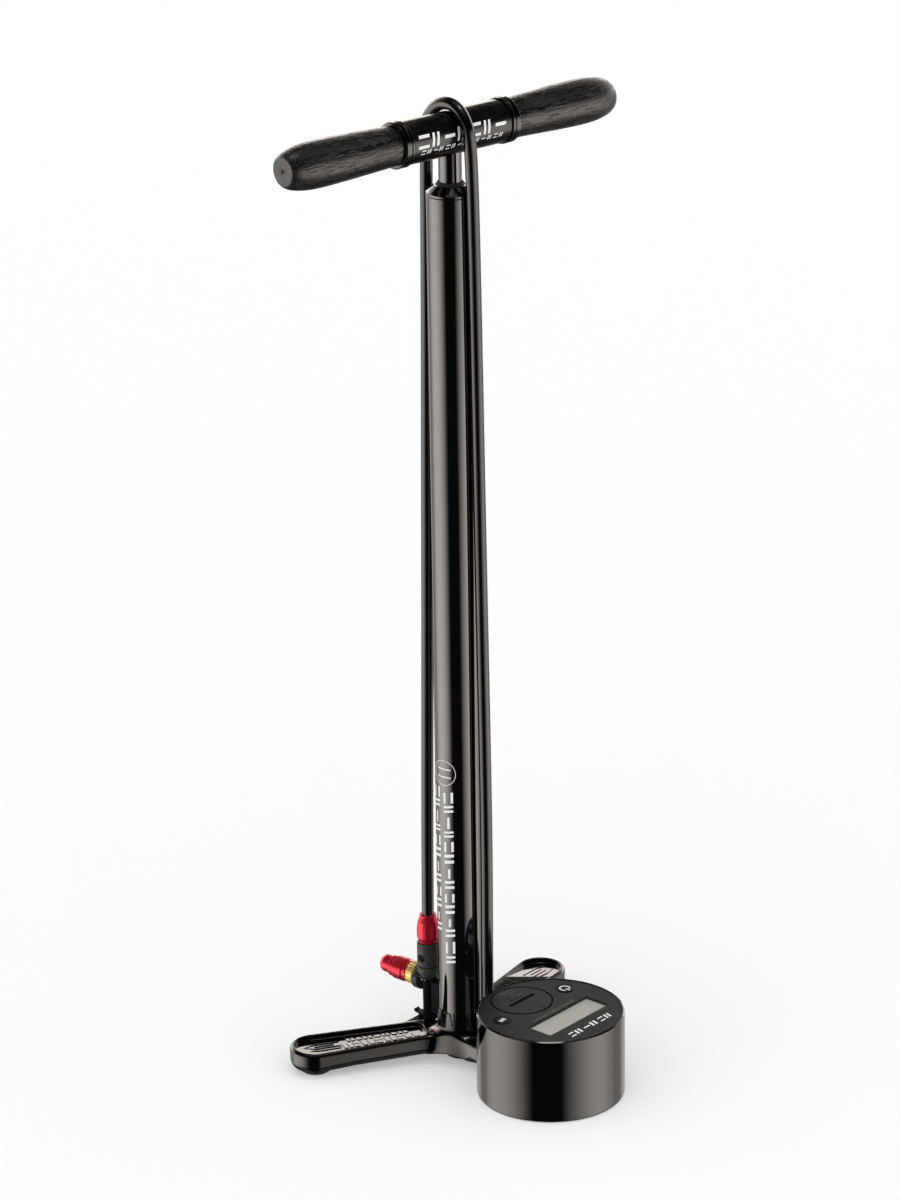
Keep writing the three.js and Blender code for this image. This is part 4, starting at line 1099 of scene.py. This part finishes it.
def make_chuck():
    """The hose's ends. Returns the pieces that stay on the hose."""
    sleeve = [(2.5, 25.3), (4.8, 25.3, 0.3), (4.8, 38.6, 0.8), (4.35, 40, 0.3), (2.5, 40)]
    piece("inlet_sleeve", turned(sleeve, 64, closed=True), "gloss_black", "base", ["hose_inlet_sleeve"], INLET)
    ferrule = [
        (0, 75.8), (6.5, 75.8, 0.2), (6.6, 76.6, 0.2), (6.7, 77.2, 0.8), (7.5, 79.4, 1.0), (7.5, 85.8, 3.0),
        (6.8, 90.2, 3.0), (5.3, 94, 0.3), (5.6, 94.4, 0.2), (5.5, 95.1, 0.2), (4.8, 95.3, 0.2), (4.15, 94.9),
        (4.15, 94), (0, 94),
    ]
    ferrule = turned(ferrule, 96, steps=6, wave=ferrule_wave)
    rows = [(7.6, z) for z in np.arange(BLEED_Z - 3.3, BLEED_Z + 3.31, 0.3)]
    body = [
        (0, 58.9), (7.0, 58.9, 0.3), (7.6, 59.6, 0.3), *rows, (7.6, 72.6, 0.2), (7.35, 72.9, 0.1), (7.35, 73.3, 0.1),
        (7.6, 73.6, 0.2), (7.6, 75.0, 0.3), (7.1, 75.5, 0.3), (0, 75.5),
    ]
    ring = [
        (0, 51.3), (6.3, 51.3, 0.1), (6.3, 53.9), (7.4, 53.9, 0.2), (7.75, 54.4, 0.3), (7.75, 58.1, 0.3),
        (7.4, 58.6, 0.2), (0, 58.6),
    ]
    button = [(0, 3.4), (1, 3.4), (1, 4.4), (2.2, 4.4), (2.2, 6.0, 0.4), (1.4, 6.2, 0.3), (0, 6.1)]
    column = joined(
        turned([(0, 32.8), (3.6, 32.8, 0.2), (4.2, 33.5, 0.3), (4.2, 50.8), (0, 50.8)], 64),
        turned([(0, 49.2), (6.5, 49.2, 0.2), (6.9, 49.6, 0.2), (6.9, 50.6, 0.3), (6.5, 51, 0.2), (0, 51)], 96),
    )
    branch = joined(half_cup(5, 0.9, 6), half_cup(8.9, 3.6, 8.4))
    knurl = [(3.2, 8.7), (7.2, 8.7, 0.3), (8.0, 9.3, 0.2), (8.0, 14.2, 0.2), (7.2, 14.9, 0.3), (3.2, 14.9)]
    knurl = turned(knurl, KNURL_TEETH * 10, closed=True, wave=knurl_wave)
    coupler = [
        (3.2, 15.1), (6.9, 15.1, 0.2), (7.2, 15.6, 0.2), (7.2, 18.4, 0.1), (7.8, 19.1, 0.15), (7.8, 26.6, 0.15),
        (7.0, 27.4, 0.1), (7.0, 30.4, 0.15), (6.5, 31.0, 0.1), (5.9, 31.2, 0.1), (5.9, 36.4, 0.5), (5.3, 38.2, 0.5),
        (4.5, 39.1, 0.3), (3.2, 39.1, 0.2), (3.2, 30.1), (4.6, 30.1), (4.6, 25.7), (3.2, 25.7),
    ]
    coupler = turned(coupler, 96, closed=True)
    bleed = CHUCK @ shift(z=BLEED_Z) @ turn(-90, "Y")
    pieces = [
        piece("red_ferrule", ferrule, "red_alloy", "base", ["hose_ferrule"], CHUCK),
        piece("chuck_barrel", turned(body, 192, wave=bleed_hole), "chuck_black", "base", ["chuck_body"], CHUCK),
        piece("chuck_swivel", turned(ring, 96), "chuck_black", "base", ["chuck_swivel_ring"], CHUCK),
        piece("bleed_key", turned(button, 48), "gloss_black", "bleed_button", ["bleed_button"], bleed, "deep_black"),
        piece("chuck_column", column, "chuck_black", "base", ["chuck_elbow"], CHUCK, "polished_black"),
        piece("chuck_branch", branch, "chuck_black", "base", place=CHUCK),
        piece("brass_ring", knurl, "brass", "coupler", ["brass_knurl_ring"], BRANCH, sharp=30),
        piece("red_coupler", coupler, "red_alloy", "coupler", ["valve_coupler"], BRANCH),
    ]
    make_dock()
    return pieces


def half_cup(radius, near, far):
    """A disc along the branch from near to far, cut flat just above the branch's middle."""
    top = 51.0 - BRANCH_Z
    start = math.asin(top / radius)
    angles = np.linspace(math.pi - start, 2 * math.pi + start, 64)
    outline = [(radius * math.cos(a), radius * math.sin(a)) for a in angles]
    along_branch = Matrix(((1, 0, 0, 0), (0, 0, 1, 0), (0, 1, 0, 0), (0, 0, 0, 1)))
    return moved(plate(outline, near, far, bevel=0.35), shift(z=BRANCH_Z) @ along_branch)


def bleed_hole(angle, radius, z):
    """A round hole in the chuck's side, over the bleed button."""
    if radius <= 7:
        return radius
    around = (angle - math.pi) * radius
    return radius - 2.6 * float(1 - ease(math.hypot(around, z - BLEED_Z), 2.35, 2.75))


def ferrule_wave(angle, radius, z):
    """Shallow flutes round the ferrule's shoulder."""
    depth = 0.12 * float(ease(z, 80.0, 81.5) * (1 - ease(z, 88.0, 90.0)))
    return radius - depth * (0.5 + 0.5 * math.cos(18 * angle)) ** 3


def knurl_wave(angle, radius, z):
    """Straight flutes round the brass ring."""
    if radius < 6:
        return radius
    tooth = abs(((angle * KNURL_TEETH / (2 * math.pi)) % 1) - 0.5) * 2
    return radius - 0.9 * float(ease(tooth, 0.45, 0.85))


def make_dock():
    low, top = 22.3, 48.9
    outer = arc(5.6, 173.9, 366.1, count=48)
    post = plate([*outer, *arc(4.5, 367.7, 172.3, count=48)], 32.4, top, bevel=0.25)
    lower = plate(outer, low, 32.5, bevel=0.2)
    web = plate(box_loop(7, 7.6, 0, -7.8, radius=0.8), 26, top, bevel=0.4)
    ledge = plate(box_loop(10.6, 12.4, 0, 0.2, radius=1.8), low, low + 2, bevel=0.5)
    hook_plan = [(4.5, 21.6), (10.6, 21.3, 0.5), (12.2, 23.2, 0.3), (11.4, 24, 0.3), (9.8, 22.8, 0.5), (4.5, 23.4)]
    hook = plate(rounded(hook_plan, True), -2.2, 2.2, bevel=0.3)
    upright = Matrix(((0, 0, 1, 0), (1, 0, 0, 0), (0, 1, 0, 0), (0, 0, 0, 1)))
    spigot = turned([(0, 13), (3, 13, 0.3), (3, 23), (0, 23)], 48)
    shape = joined(post, lower, web, ledge, moved(hook, upright), spigot)
    piece("chuck_rest", shape, "chuck_black", "base", ["chuck_dock"], CHUCK, finish="deep_black")


def finish_cad_nodes():
    """Every CAD node that still shows gets its slot's finish."""
    slots = {row["node"]: row["material_slot"] for row in frame["record"]["subparts"]}
    for name, node in frame["nodes"].items():
        if not node.hide_render:
            node.data.materials.clear()
            node.data.materials.append(FINISHES[slots[name]])


# ---------------------------------------------------------------- the whole
make_camera()
make_world()
make_floor()
bpy.context.scene.view_settings.view_transform = "Standard"

hose, hose_path = make_hose()
make_foot()
make_treads()
make_pads()
make_gauge()
make_barrel()
make_barrel_print()
make_handle()
chuck_pieces = make_chuck()
finish_cad_nodes()

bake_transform(hose)
